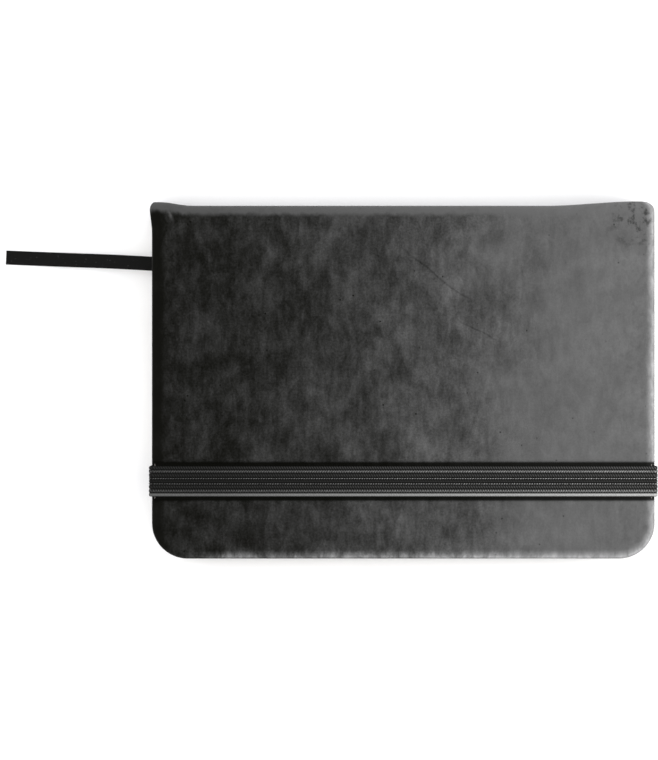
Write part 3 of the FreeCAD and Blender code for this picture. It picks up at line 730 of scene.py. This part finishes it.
leather_parts = (
    ("back_cover_skin", "back_cover_leather", -1.0, seam_back),
    ("spine_skin", "spine_leather", seam_back, seam_front),
    ("front_cover_skin", "front_cover_leather", seam_front, 1.0),
)
leather_pieces = {}
for name, cad_name, run_from, run_to in leather_parts:
    chosen = [
        face for face, run in zip(sheet_faces, sheet_rows) if run_from < run <= run_to
    ]
    piece = cut_piece(name, sheet_points, sheet_flat, sheet_edges, chosen, outward_normals)
    piece.data.materials.append(leatherette)
    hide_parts(cad_name)
    leather_pieces[name] = piece

mid_shoulder = Vector(wrap(0, seam_front, 0))
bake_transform(leather_pieces["back_cover_skin"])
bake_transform(leather_pieces["spine_skin"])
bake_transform(leather_pieces["front_cover_skin"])

# ---------------------------------------------------------------------------------------------
# Boards, spine strip and lining.
# Two grey boards and a card strip, cut to size and glued inside the leatherette, and a strip of
# open cotton cloth glued over the folds. They keep their shapes and only need their own surfaces.
# ---------------------------------------------------------------------------------------------


def fibre_board(name, dark, light):
    """Pressed grey pulp with long fibres and darker specks."""
    material, shader = new_material(name, 0.9, 0.1)
    place = node(material, "TexCoord").outputs["Object"]
    drawn = node(material, "Mapping", Vector=place, Scale=(0.3, 1.0, 1.0)).outputs[0]
    fibres = node(material, "TexNoise", Vector=drawn, Scale=1600.0, Detail=5.0).outputs[0]
    colour_between(material, shader, fibres, dark, light)
    set_bump(material, shader, fibres, 0.05 * mm, 0.5)
    return material


def open_cloth(name, dark, light, pitch):
    """Plain weave: two sets of threads crossing at right angles."""
    material, shader = new_material(name, 0.85, 0.15)
    place = node(material, "TexCoord").outputs["Object"]
    split = node(material, "SeparateXYZ", i0=place)
    threads = []
    for axis in ("X", "Z"):
        turn = maths("MULTIPLY", split.outputs[axis], 2 * math.pi / pitch)
        threads.append(maths("SINE", turn))
    weave = maths("MULTIPLY", threads[0], threads[1])
    height = maths("MULTIPLY_ADD", weave, 0.5, 0.5)
    colour_between(material, shader, height, dark, light)
    set_bump(material, shader, height, 0.08 * mm, 0.8)
    return material


def dress(cad_names, material):
    """Gives pieces that keep their own shape a surface."""
    for cad_name in cad_names:
        slots = bpy.data.objects[cad_name].data.materials
        slots.clear()
        slots.append(material)


dress(("back_cover_board", "front_cover_board"),
      fibre_board("grey_board", (0.16, 0.15, 0.14), (0.36, 0.34, 0.31)))
dress(("spine_strip",), fibre_board("spine_card", (0.22, 0.19, 0.15), (0.42, 0.38, 0.31)))
dress(("spine_lining",), open_cloth("lining_cloth", (0.5, 0.47, 0.4), (0.8, 0.77, 0.7), 0.7 * mm))

# ---------------------------------------------------------------------------------------------
# The pages.
# Twelve signatures of four folded sheets, 80 g cream paper with faint ruled lines, cut flush and
# rounded at the fore edge. Near the spine each one bends towards the fold it is sewn through.
# ---------------------------------------------------------------------------------------------

page_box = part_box("signature_12")
page_half = page_box[1].x
page_fore = -page_box[0].y
page_corner = 9 * mm
leaf_pitch = 0.1 * mm
leaf_thickness = 0.086 * mm
sheets_in_signature = 4
line_spacing = 6.5 * mm
block_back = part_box("signature_07")[1].y
gutter_depth = 3 * mm


def leaf_rows(fore, corner_radius, back):
    """Rows across a leaf from the fore edge to the fold, finer at the corners and the gutter."""
    angles = np.linspace(math.pi / 2, 0, 10)
    made = [corner_radius - fore - corner_radius * math.sin(angle) for angle in angles]
    gutter = back - gutter_depth
    made += list(np.linspace(made[-1], gutter, 7)[1:])
    made += list(np.linspace(gutter, back, 11)[1:])
    return made


def leaf_reach(y, half, fore, corner_radius):
    """Half a leaf's length at a place across it, less in the rounded corners."""
    past = corner_radius - fore - y
    if past <= 0:
        return half
    return half - corner_radius + math.sqrt(max(corner_radius ** 2 - past ** 2, 0.0))


def folded_sheet(low, high, fold, outline, thickness, shift):
    """A folded sheet: lower leaf, round fold, upper leaf, as points and faces of a closed solid.
    The outline is (half length, fore reach, corner radius); low and high are leaf heights."""
    half, fore, corner_radius = outline
    radius = (high - low) / 2
    back = fold - radius
    line = []
    for height, facing in ((low, -1), (high, 1)):
        steps = [
            (y, height, 0.0, float(facing), leaf_reach(y, half, fore, corner_radius))
            for y in leaf_rows(fore, corner_radius, back)
        ]
        if facing > 0:
            for turn in np.linspace(-math.pi / 2, math.pi / 2, 8)[1:-1]:
                out, up = math.cos(turn), math.sin(turn)
                centre = low + radius
                line.append((back + radius * out, centre + radius * up, out, up, half))
            steps.reverse()
        line += steps
    return strip_solid(line, thickness, shift)


def strip_solid(line, thickness, shift=(0.0, 0.0)):
    """Closes a sheet round a line of rows: place, direction out of it and half length."""
    shares = np.concatenate([[-1, -0.985], np.linspace(-0.9, 0.9, 9), [0.985, 1]])
    points, faces = [], []
    for side in (1, -1):
        for y, z, out, up, reach in line:
            offset = side * thickness / 2
            for share in shares:
                points.append((
                    share * reach + shift[0], y + out * offset + shift[1], z + up * offset))
    wide, tall = len(shares), len(line)
    layer = wide * tall
    for row in range(tall - 1):
        for column in range(wide - 1):
            low_left = row * wide + column
            quad = (low_left, low_left + wide, low_left + wide + 1, low_left + 1)
            faces.append(quad)
            faces.append(tuple(layer + index for index in reversed(quad)))
    border = list(range(wide))
    border += [row * wide + wide - 1 for row in range(1, tall)]
    border += [(tall - 1) * wide + column for column in range(wide - 2, -1, -1)]
    border += [row * wide for row in range(tall - 2, 0, -1)]
    for place, index in enumerate(border):
        following = border[(place + 1) % len(border)]
        faces.append((index, following, layer + following, layer + index))
    return points, faces


def join_solids(name, solids):
    """One mesh that holds several closed solids."""
    points, faces = [], []
    for solid_points, solid_faces in solids:
        first = len(points)
        points += solid_points
        faces += [tuple(first + index for index in face) for face in solid_faces]
    return finish_mesh(name, points, faces)


def ruled_paper():
    """Cream writing paper: soft fibres, and thin grey lines across each page below the head."""
    material, shader = new_material("page_paper", 0.82, 0.2)
    place = node(material, "TexCoord").outputs["Object"]
    split = node(material, "SeparateXYZ", i0=place)
    fibres = node(material, "TexNoise", Vector=place, Scale=900.0, Detail=5.0).outputs[0]
    count = maths("DIVIDE", split.outputs["X"], line_spacing)
    phase = maths("FRACT", maths("ADD", count, 100.0))
    off_line = maths("ABSOLUTE", maths("SUBTRACT", phase, 0.5))
    line = node(material, "MapRange", Value=off_line, From_Min=0.0, From_Max=0.022,
                To_Min=1.0, To_Max=0.0).outputs[0]
    below_head = maths("LESS_THAN", split.outputs["X"], 60 * mm)
    above_tail = maths("GREATER_THAN", split.outputs["X"], -66 * mm)
    facing = node(material, "NewGeometry").outputs["Normal"]
    level = maths("ABSOLUTE", node(material, "SeparateXYZ", i0=facing).outputs["Z"])
    flat = maths("GREATER_THAN", level, 0.3)
    line = maths("MULTIPLY", line, below_head)
    line = maths("MULTIPLY", line, above_tail)
    line = maths("MULTIPLY", line, flat)
    tone = maths("MULTIPLY_ADD", fibres, 0.3, 0.65)
    tone = maths("MULTIPLY_ADD", line, -0.45, tone)
    colour_between(material, shader, tone, (0.2, 0.2, 0.21), (0.74, 0.70, 0.60))
    set_bump(material, shader, fibres, 0.01 * mm, 0.4)
    return material


page_paper = ruled_paper()
shake = random.Random(12)
leaf_outline = (page_half, page_fore, page_corner)
for number in range(1, 13):
    cad_name = f"signature_{number:02d}"
    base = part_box(cad_name)[0].z
    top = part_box(cad_name)[1].z
    solids = []
    for nested in range(sheets_in_signature):
        inset = (nested + 0.5) * leaf_pitch
        shift = (shake.uniform(-0.07, 0.07) * mm, shake.uniform(-0.05, 0.01) * mm)
        solids.append(folded_sheet(
            base + inset, top - inset, block_back - nested * leaf_pitch,
            leaf_outline, leaf_thickness, shift))
    leaves = join_solids(f"leaves_{number:02d}", solids)
    leaves.data.materials.append(page_paper)
    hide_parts(cad_name)
    if number > 6:
        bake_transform(leaves)
    else:
        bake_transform(leaves)

# ---------------------------------------------------------------------------------------------
# The endpapers.
# Two folded sheets of heavier laid paper, one at each end of the block. One half is pasted inside
# the cover over the turned-in leatherette, the other is the free first or last leaf.
# ---------------------------------------------------------------------------------------------

endpaper_thickness = 0.11 * mm
paste_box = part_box("back_pastedown")
pasted_outline = (paste_box[1].x, -paste_box[0].y, 8.5 * mm)
hinge_fold = 49.62 * mm


def laid_paper():
    """Ivory endpaper with the close parallel lines of a laid mould."""
    material, shader = new_material("endpaper", 0.85, 0.2)
    place = node(material, "TexCoord").outputs["Object"]
    split = node(material, "SeparateXYZ", i0=place)
    turn = maths("MULTIPLY", split.outputs["X"], 2 * math.pi / (1.1 * mm))
    laid = maths("SINE", turn)
    fibres = node(material, "TexNoise", Vector=place, Scale=700.0, Detail=5.0).outputs[0]
    tone = maths("MULTIPLY_ADD", laid, 0.05, fibres)
    colour_between(material, shader, tone, (0.56, 0.53, 0.45), (0.74, 0.70, 0.61))
    set_bump(material, shader, tone, 0.012 * mm, 0.6)
    return material


def endpaper_half(name, outline, height, fold_height):
    """One half of a folded endpaper: a flat leaf that ends in its share of the round fold."""
    half, fore, corner_radius = outline
    radius = abs(fold_height - height)
    facing = 1 if fold_height > height else -1
    back = hinge_fold - radius
    line = [
        (y, height, 0.0, -1.0 * facing, leaf_reach(y, half, fore, corner_radius))
        for y in leaf_rows(fore, corner_radius, back)
    ]
    for turn in np.linspace(-math.pi / 2, 0, 5)[1:]:
        out, up = math.cos(turn), math.sin(turn) * facing
        line.append((back + radius * out, fold_height + radius * up, out, up, half))
    points, faces = strip_solid(line, endpaper_thickness)
    if facing < 0:
        faces = [tuple(reversed(face)) for face in faces]
    leaf = finish_mesh(name, points, faces)
    leaf.data.materials.append(endpaper)
    return leaf


endpaper = laid_paper()
for side in ("back", "front"):
    pasted_low, pasted_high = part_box(f"{side}_pastedown")
    free_low, free_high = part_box(f"{side}_flyleaf")
    pasted_height = (pasted_low.z + pasted_high.z) / 2
    free_height = (free_low.z + free_high.z) / 2
    fold_height = (pasted_height + free_height) / 2
    pasted = endpaper_half(f"{side}_pasted_half", pasted_outline, pasted_height, fold_height)
    free = endpaper_half(f"{side}_free_half", leaf_outline, free_height, fold_height)
    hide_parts(f"{side}_pastedown")
    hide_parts(f"{side}_flyleaf")
    if side == "back":
        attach(pasted, "back_cover")
        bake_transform(free)
    else:
        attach(pasted, "front_cover")
        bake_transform(free)

# ---------------------------------------------------------------------------------------------
# Sewing thread.
# Waxed linen, linked from fold to fold at five stations down the spine. Each link is one small
# round loop that stands against two neighbouring folds.
# ---------------------------------------------------------------------------------------------


def tree_input(tree, name, kind, value):
    """Adds a named input to a tree, with the value it has until it is given another."""
    made = tree.interface.new_socket(name, in_out="INPUT", socket_type=kind)
    if value is not None:
        made.default_value = value
    return made


def repeat_tree(name, shape):
    """A tree that puts one small shape at every point of a mesh, turned and sized by the point.
    shape(tree, sizes) adds the nodes that make it and returns its geometry socket."""
    tree = bpy.data.node_groups.new(name, "GeometryNodeTree")
    tree.interface.new_socket("Points", in_out="INPUT", socket_type="NodeSocketGeometry")
    tree_input(tree, "Length", "NodeSocketFloat", mm)
    tree_input(tree, "Thickness", "NodeSocketFloat", mm)
    tree_input(tree, "Unevenness", "NodeSocketFloat", 0.0)
    tree_input(tree, "Seed", "NodeSocketInt", 1)
    tree_input(tree, "Surface", "NodeSocketMaterial", None)
    tree.interface.new_socket("Result", in_out="OUTPUT", socket_type="NodeSocketGeometry")
    nodes, links = tree.nodes, tree.links
    given = nodes.new("NodeGroupInput")
    placed = nodes.new("GeometryNodeInstanceOnPoints")
    turned = nodes.new("GeometryNodeInputNamedAttribute")
    turned.data_type = "FLOAT_VECTOR"
    turned.inputs["Name"].default_value = "turn"
    to_rotation = nodes.new("FunctionNodeEulerToRotation")
    chance = nodes.new("FunctionNodeRandomValue")
    chance.data_type = "FLOAT"
    least = maths("SUBTRACT", 1.0, given.outputs["Unevenness"])
    realize = nodes.new("GeometryNodeRealizeInstances")
    painted = nodes.new("GeometryNodeSetMaterial")
    result = nodes.new("NodeGroupOutput")
    links.new(given.outputs["Points"], placed.inputs["Points"])
    links.new(shape(tree, given), placed.inputs["Instance"])
    links.new(turned.outputs["Attribute"], to_rotation.inputs["Euler"])
    links.new(to_rotation.outputs["Rotation"], placed.inputs["Rotation"])
    links.new(least, chance.inputs[2])
    chance.inputs[3].default_value = 1.0
    links.new(given.outputs["Seed"], chance.inputs["Seed"])
    links.new(chance.outputs[1], placed.inputs["Scale"])
    links.new(placed.outputs["Instances"], realize.inputs["Geometry"])
    links.new(realize.outputs["Geometry"], painted.inputs["Geometry"])
    links.new(given.outputs["Surface"], painted.inputs["Material"])
    links.new(painted.outputs["Geometry"], result.inputs["Result"])
    return tree


def repeat_on(name, tree, places, turns, **settings):
    """Runs the tree over a set of places and keeps the outcome as one plain mesh."""
    host = finish_mesh(name + "_places", places, [], smooth=False)
    keep_coordinates(host, "turn", turns)
    modifier = host.modifiers.new("repeat", "NODES")
    modifier.node_group = tree
    identifiers = {
        item.name: item.identifier for item in tree.interface.items_tree
        if item.item_type == "SOCKET" and item.in_out == "INPUT"
    }
    for key, value in settings.items():
        modifier[identifiers[key]] = value
    bpy.context.view_layer.update()
    mesh = bpy.data.meshes.new_from_object(host.evaluated_get(
        bpy.context.evaluated_depsgraph_get()))
    bpy.data.objects.remove(host)
    mesh.name = name
    mesh.shade_smooth()
    piece = bpy.data.objects.new(name, mesh)
    bpy.context.collection.objects.link(piece)
    return piece


def thread_ring(tree, given, resolution):
    """A closed level ring of round thread, Length wide from middle to middle."""
    nodes, links = tree.nodes, tree.links
    path = nodes.new("GeometryNodeCurvePrimitiveCircle")
    path.inputs["Resolution"].default_value = resolution
    section = nodes.new("GeometryNodeCurvePrimitiveCircle")
    section.inputs["Resolution"].default_value = 6
    radius = maths("MULTIPLY", given.outputs["Length"], 0.5)
    tube = nodes.new("GeometryNodeCurveToMesh")
    links.new(radius, path.inputs["Radius"])
    links.new(given.outputs["Thickness"], section.inputs["Radius"])
    links.new(path.outputs["Curve"], tube.inputs["Curve"])
    links.new(section.outputs["Curve"], tube.inputs["Profile Curve"])
    return tube.outputs["Mesh"]


def standing_loop(tree, given):
    """A stitch's loop: a ring of thread stood on its edge."""
    stood = tree.nodes.new("GeometryNodeTransform")
    stood.inputs["Rotation"].default_value = (math.pi / 2, 0, 0)
    tree.links.new(thread_ring(tree, given, 14), stood.inputs["Geometry"])
    return stood.outputs["Geometry"]


def waxed_thread(name, dark, light):
    """Twisted thread: slanting strands with a dull wax shine."""
    material, shader = new_material(name, 0.5, 0.3)
    place = node(material, "TexCoord").outputs["Object"]
    strands = node(material, "TexWave", Vector=place, Scale=900.0, Distortion=2.0).outputs[1]
    colour_between(material, shader, strands, dark, light)
    set_bump(material, shader, strands, 0.04 * mm, 0.7)
    return material


stitch_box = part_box("sewing_thread")
stitch_places, stitch_turns = [], []
fold_heights = [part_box(f"signature_{number:02d}")[0].z for number in range(1, 12)]
for station in np.linspace(stitch_box[0].x, stitch_box[1].x, 5):
    for height in fold_heights:
        stitch_places.append((station, (stitch_box[0].y + stitch_box[1].y) / 2, height))
        stitch_turns.append((0, 0, 0))
sewing = repeat_on(
    "sewing_links", repeat_tree("sewing", standing_loop), stitch_places, stitch_turns,
    Length=0.66 * mm, Thickness=0.09 * mm, Unevenness=0.1, Seed=3,
    Surface=waxed_thread("linen_thread", (0.5, 0.47, 0.38), (0.85, 0.82, 0.72)),
)
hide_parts("sewing_thread")
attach(sewing, "spine")

# ---------------------------------------------------------------------------------------------
# Head and tail bands.
# A cotton core wound with fine dark and pale silk, glued by a cloth tongue over the folds at each
# end of the spine, so that it fills the gap between the block and the leatherette.
# ---------------------------------------------------------------------------------------------


def wound_ring(tree, given):
    """One turn of silk round the core, which lies level."""
    return thread_ring(tree, given, 20)


band_tree = repeat_tree("band_winding", wound_ring)
silks = {
    "dark": waxed_thread("dark_silk", (0.012, 0.012, 0.012), (0.05, 0.05, 0.05)),
    "pale": waxed_thread("pale_silk", (0.3, 0.29, 0.27), (0.55, 0.53, 0.48)),
}
tongue_cloth = open_cloth("headband_cloth", (0.35, 0.33, 0.3), (0.6, 0.57, 0.52), 0.5 * mm)
bead_width = 1.4 * mm
silk_thickness = 0.11 * mm
for end_name, end in (("head", 1), ("tail", -1)):
    band_low, band_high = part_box(f"{end_name}_band")
    bead_x = (band_high.x if end > 0 else band_low.x) - end * bead_width / 2
    bead_y = (band_low.y + band_high.y) / 2
    heights = np.arange(band_low.z + 2 * silk_thickness, band_high.z - 2 * silk_thickness,
                        1.7 * silk_thickness)
    for shade, offset in (("dark", 0), ("pale", 1)):
        chosen = [height for index, height in enumerate(heights) if (index // 3) % 2 == offset]
        winding = repeat_on(
            f"{end_name}_band_{shade}_silk", band_tree,
            [(bead_x, bead_y, height) for height in chosen], [(0, 0, 0)] * len(chosen),
            Length=bead_width - 1.3 * silk_thickness, Thickness=silk_thickness, Unevenness=0.03,
            Seed=5, Surface=silks[shade],
        )
        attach(winding, "spine")
dress(("head_band", "tail_band"), tongue_cloth)

# ---------------------------------------------------------------------------------------------
# The closure elastic.
# A 9 mm woven band with rubber cords in it, so that it is ribbed lengthways, with fine diagonal
# floats of yarn between the ribs. It presses into the cover and both ends are glued in behind.
# ---------------------------------------------------------------------------------------------

band_thickness = 0.85 * mm
band_bend = 1.15 * mm
band_floor = elastic_box[0].z
press = 0.34 * mm
# ribs from the fore-edge side to the spine side: width in mm, paleness, floats, hatching
ribs = (
    (1.0, 0.85, False, 0.12), (1.1, 0.30, True, 1.0), (1.05, 0.14, False, 1.0),
    (0.55, 0.28, True, 1.0), (0.85, 0.07, False, 0.6), (0.6, 0.26, True, 1.0),
    (1.1, 0.12, False, 1.0), (1.0, 0.34, True, 1.0), (0.95, 0.17, False, 1.0),
)
rib_rise = 0.2 * mm


def band_path():
    """Centre line of the band in X and Z with the way out from the book, tail to head."""
    wall = half_length + 0.06 * mm + band_thickness / 2
    roof = book_height - press + band_thickness / 2
    low = band_floor + 0.2 * mm
    side = [(wall - 0.25 * mm, low, 0.35, -0.94), (wall, low + 0.5 * mm, 1.0, -0.1)]
    for height in np.linspace(low + 1.2 * mm, roof - band_bend, 12):
        bow = 0.03 * mm * math.sin(math.pi * (height - low) / (roof - low))
        side.append((wall - bow, height, 1.0, 0.0))
    for turn in np.linspace(0, math.pi / 2, 9)[1:]:
        side.append((
            wall - band_bend + band_bend * math.cos(turn),
            roof - band_bend + band_bend * math.sin(turn), math.cos(turn), math.sin(turn)))
    run = []
    for x in np.linspace(-(wall - band_bend - 1 * mm), wall - band_bend - 1 * mm, 230):
        near_edge = float(ease((abs(x) - 68 * mm) / (5 * mm)))
        run.append((x, roof - 0.18 * mm * near_edge, 0.0, 1.0))
    return [(-x, z, -ox, oz) for x, z, ox, oz in side] + run + side[::-1]


def rib_steps():
    """Places from -1 to 1 across the band, each with its rise over the furrows and its yarn."""
    whole = sum(rib[0] for rib in ribs)
    steps, start = [], 0.0
    for width, paleness, _, hatching in ribs:
        for share in np.linspace(0, 1, 8):
            across = -1 + 2 * (start + share * width) / whole
            dome = math.sin(math.pi * share) ** 0.6 if 0 < share < 1 else 0.0
            steps.append((across, dome * min(1.0, width), paleness, hatching))
        start += width
    return steps


def float_rows():
    """Places from -1 to 1 across the band where floats of yarn lie, and their ribs' widths."""
    whole = sum(rib[0] for rib in ribs)
    rows_found, start = [], 0.0
    for width, _, floats_here, _ in ribs:
        if floats_here:
            rows_found.append((-1 + 2 * (start + width / 2) / whole, width * mm))
        start += width
    return rows_found


def build_band():
    """The ribbed band along its path, with its weave kept at each point; also gives the path."""
    path = band_path()
    crown = band_thickness / 2
    outline = [
        (across, crown - rib_rise * (1 - dome) - 0.25 * mm * max(0.0, abs(across) - 0.96) / 0.04,
         dome, paleness, hatching)
        for across, dome, paleness, hatching in rib_steps()
    ]
    outline += [(across, -crown * (0.7 if abs(across) > 0.97 else 1.0), 0.0, 0.1, 1.0)
                for across in np.linspace(1, -1, 13)]
    points, places, weave = [], [], []
    travel = 0.0
    before = path[0]
    for x, z, out_x, out_z in path:
        travel += math.hypot(x - before[0], z - before[1])
        before = (x, z)
        for across, height, dome, paleness, hatching in outline:
            y = elastic_across + across * elastic_width / 2
            points.append((x + out_x * height, y, z + out_z * height))
            places.append((travel, across * elastic_width / 2, height))
            weave.append((dome, paleness, hatching))
    faces = tube_faces(len(outline), len(path))
    band = finish_mesh("closure_elastic", points, faces, smooth=False)
    band.data.shade_smooth()
    band.data.set_sharp_from_angle(angle=math.radians(70))
    keep_coordinates(band, "along_across", places)
    keep_coordinates(band, "rib", weave)
    return band, path


def woven_elastic():
    """Black yarn over rubber cords: short slanting picks, painted shade in the furrows, one pale
    edge, and painted light that rises towards the head.
    """
    material, shader = new_material("elastic_webbing", 0.8, 0.04)
    place = node(material, "Attribute", {"attribute_name": "along_across"}).outputs["Vector"]
    rib = node(material, "Attribute", {"attribute_name": "rib"}).outputs["Vector"]
    split = node(material, "SeparateXYZ", i0=place)
    split_rib = node(material, "SeparateXYZ", i0=rib)
    slant = maths("MULTIPLY_ADD", split.outputs["Y"], 0.55, split.outputs["X"])
    picks = maths("SINE", maths("MULTIPLY", slant, 2 * math.pi / (0.74 * mm)))
    yarn = node(material, "TexNoise", Vector=place, Scale=2600.0, Detail=3.0).outputs[0]
    # painted shade: dark in the furrows between the ribs, lighter on their crests
    lit = maths("POWER", split_rib.outputs["X"], 1.5)
    tone = maths("MULTIPLY", lit, split_rib.outputs["Y"])
    picks = maths("MULTIPLY", picks, split_rib.outputs["Z"])
    plain = maths("MULTIPLY_ADD", split_rib.outputs["Z"], -0.38, 0.88)
    hatch = maths("MULTIPLY_ADD", picks, 0.42, plain)
    tone = maths("MULTIPLY", tone, hatch)
    # painted light rising along the band towards the head
    painted_head_light = node(material, "MapRange", Value=split.outputs["X"], From_Min=30 * mm,
                From_Max=160 * mm, To_Min=0.36, To_Max=1.35).outputs[0]
    tone = maths("MULTIPLY", tone, painted_head_light)
    tone = maths("MULTIPLY", tone, maths("ADD", yarn, 0.5))
    colour_between(material, shader, tone, (0.004, 0.004, 0.0036), (0.4, 0.4, 0.39))
    set_bump(material, shader, picks, 0.08 * mm, 0.8)
    return material


def yarn_float(tree, given):
    """A short float of yarn: a slim rounded grain lying along X."""
    nodes, links = tree.nodes, tree.links
    grain = nodes.new("GeometryNodeMeshUVSphere")
    grain.inputs["Segments"].default_value = 6
    grain.inputs["Rings"].default_value = 4
    grain.inputs["Radius"].default_value = 0.5
    size = nodes.new("ShaderNodeCombineXYZ")
    shaped = nodes.new("GeometryNodeTransform")
    links.new(given.outputs["Length"], size.inputs["X"])
    links.new(given.outputs["Thickness"], size.inputs["Y"])
    links.new(given.outputs["Thickness"], size.inputs["Z"])
    links.new(grain.outputs["Mesh"], shaped.inputs["Geometry"])
    links.new(size.outputs["Vector"], shaped.inputs["Scale"])
    return shaped.outputs["Geometry"]


def pale_yarn():
    """Charcoal yarn of the floats, with a faint shine along its strands and painted light rising
    towards the head.
    """
    material, shader = new_material("elastic_yarn", 0.55, 0.35)
    place = node(material, "TexCoord").outputs["Object"]
    strands = node(material, "TexNoise", Vector=place, Scale=5000.0, Detail=2.0).outputs[0]
    along = node(material, "SeparateXYZ", i0=place).outputs["X"]
    # painted light rising towards the head
    painted_head_light = node(material, "MapRange", Value=along, From_Min=-60 * mm, From_Max=60 * mm,
                To_Min=0.25, To_Max=1.25).outputs[0]
    strands = maths("MULTIPLY", strands, painted_head_light)
    colour_between(material, shader, strands, (0.012, 0.012, 0.011), (0.55, 0.55, 0.54))
    shader.inputs["Sheen Weight"].default_value = 0.1
    return material


elastic_black = woven_elastic()
closure, closure_path = build_band()
closure.data.materials.append(elastic_black)
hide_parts("elastic_band")

float_pitch = 0.74 * mm
float_places, float_turns = [], []
travelled, next_float, previous = 0.0, 0.0, closure_path[0]
tilt = random.Random(7)
for x, z, out_x, out_z in closure_path:
    step = math.hypot(x - previous[0], z - previous[1])
    while step and travelled + step >= next_float:
        share = (next_float - travelled) / step
        middle_x = previous[0] + (x - previous[0]) * share
        middle_z = previous[1] + (z - previous[1]) * share
        for row, (across, width) in enumerate(float_rows()):
            height = band_thickness / 2 - 0.03 * mm
            stagger = (row % 2) * float_pitch / 2 + tilt.uniform(-0.03, 0.03) * mm
            float_places.append((
                middle_x + out_x * height + out_z * stagger,
                elastic_across + across * elastic_width / 2,
                middle_z + out_z * height - out_x * stagger))
            lean = 0.95 if width > 0.8 * mm else 0.25
            float_turns.append((0, math.atan2(out_x, out_z), lean))
        next_float += float_pitch
    travelled += step
    previous = (x, z)
floats = repeat_on(
    "closure_elastic_floats", repeat_tree("yarn_floats", yarn_float), float_places, float_turns,
    Length=0.56 * mm, Thickness=0.24 * mm, Unevenness=0.3, Seed=11, Surface=pale_yarn(),
)

for piece in (closure, floats):
    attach(piece, "elastic")
    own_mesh(piece)
dress(("elastic_anchor_head", "elastic_anchor_tail"),
      open_cloth("elastic_end", (0.006, 0.006, 0.006), (0.05, 0.05, 0.05), 0.5 * mm))
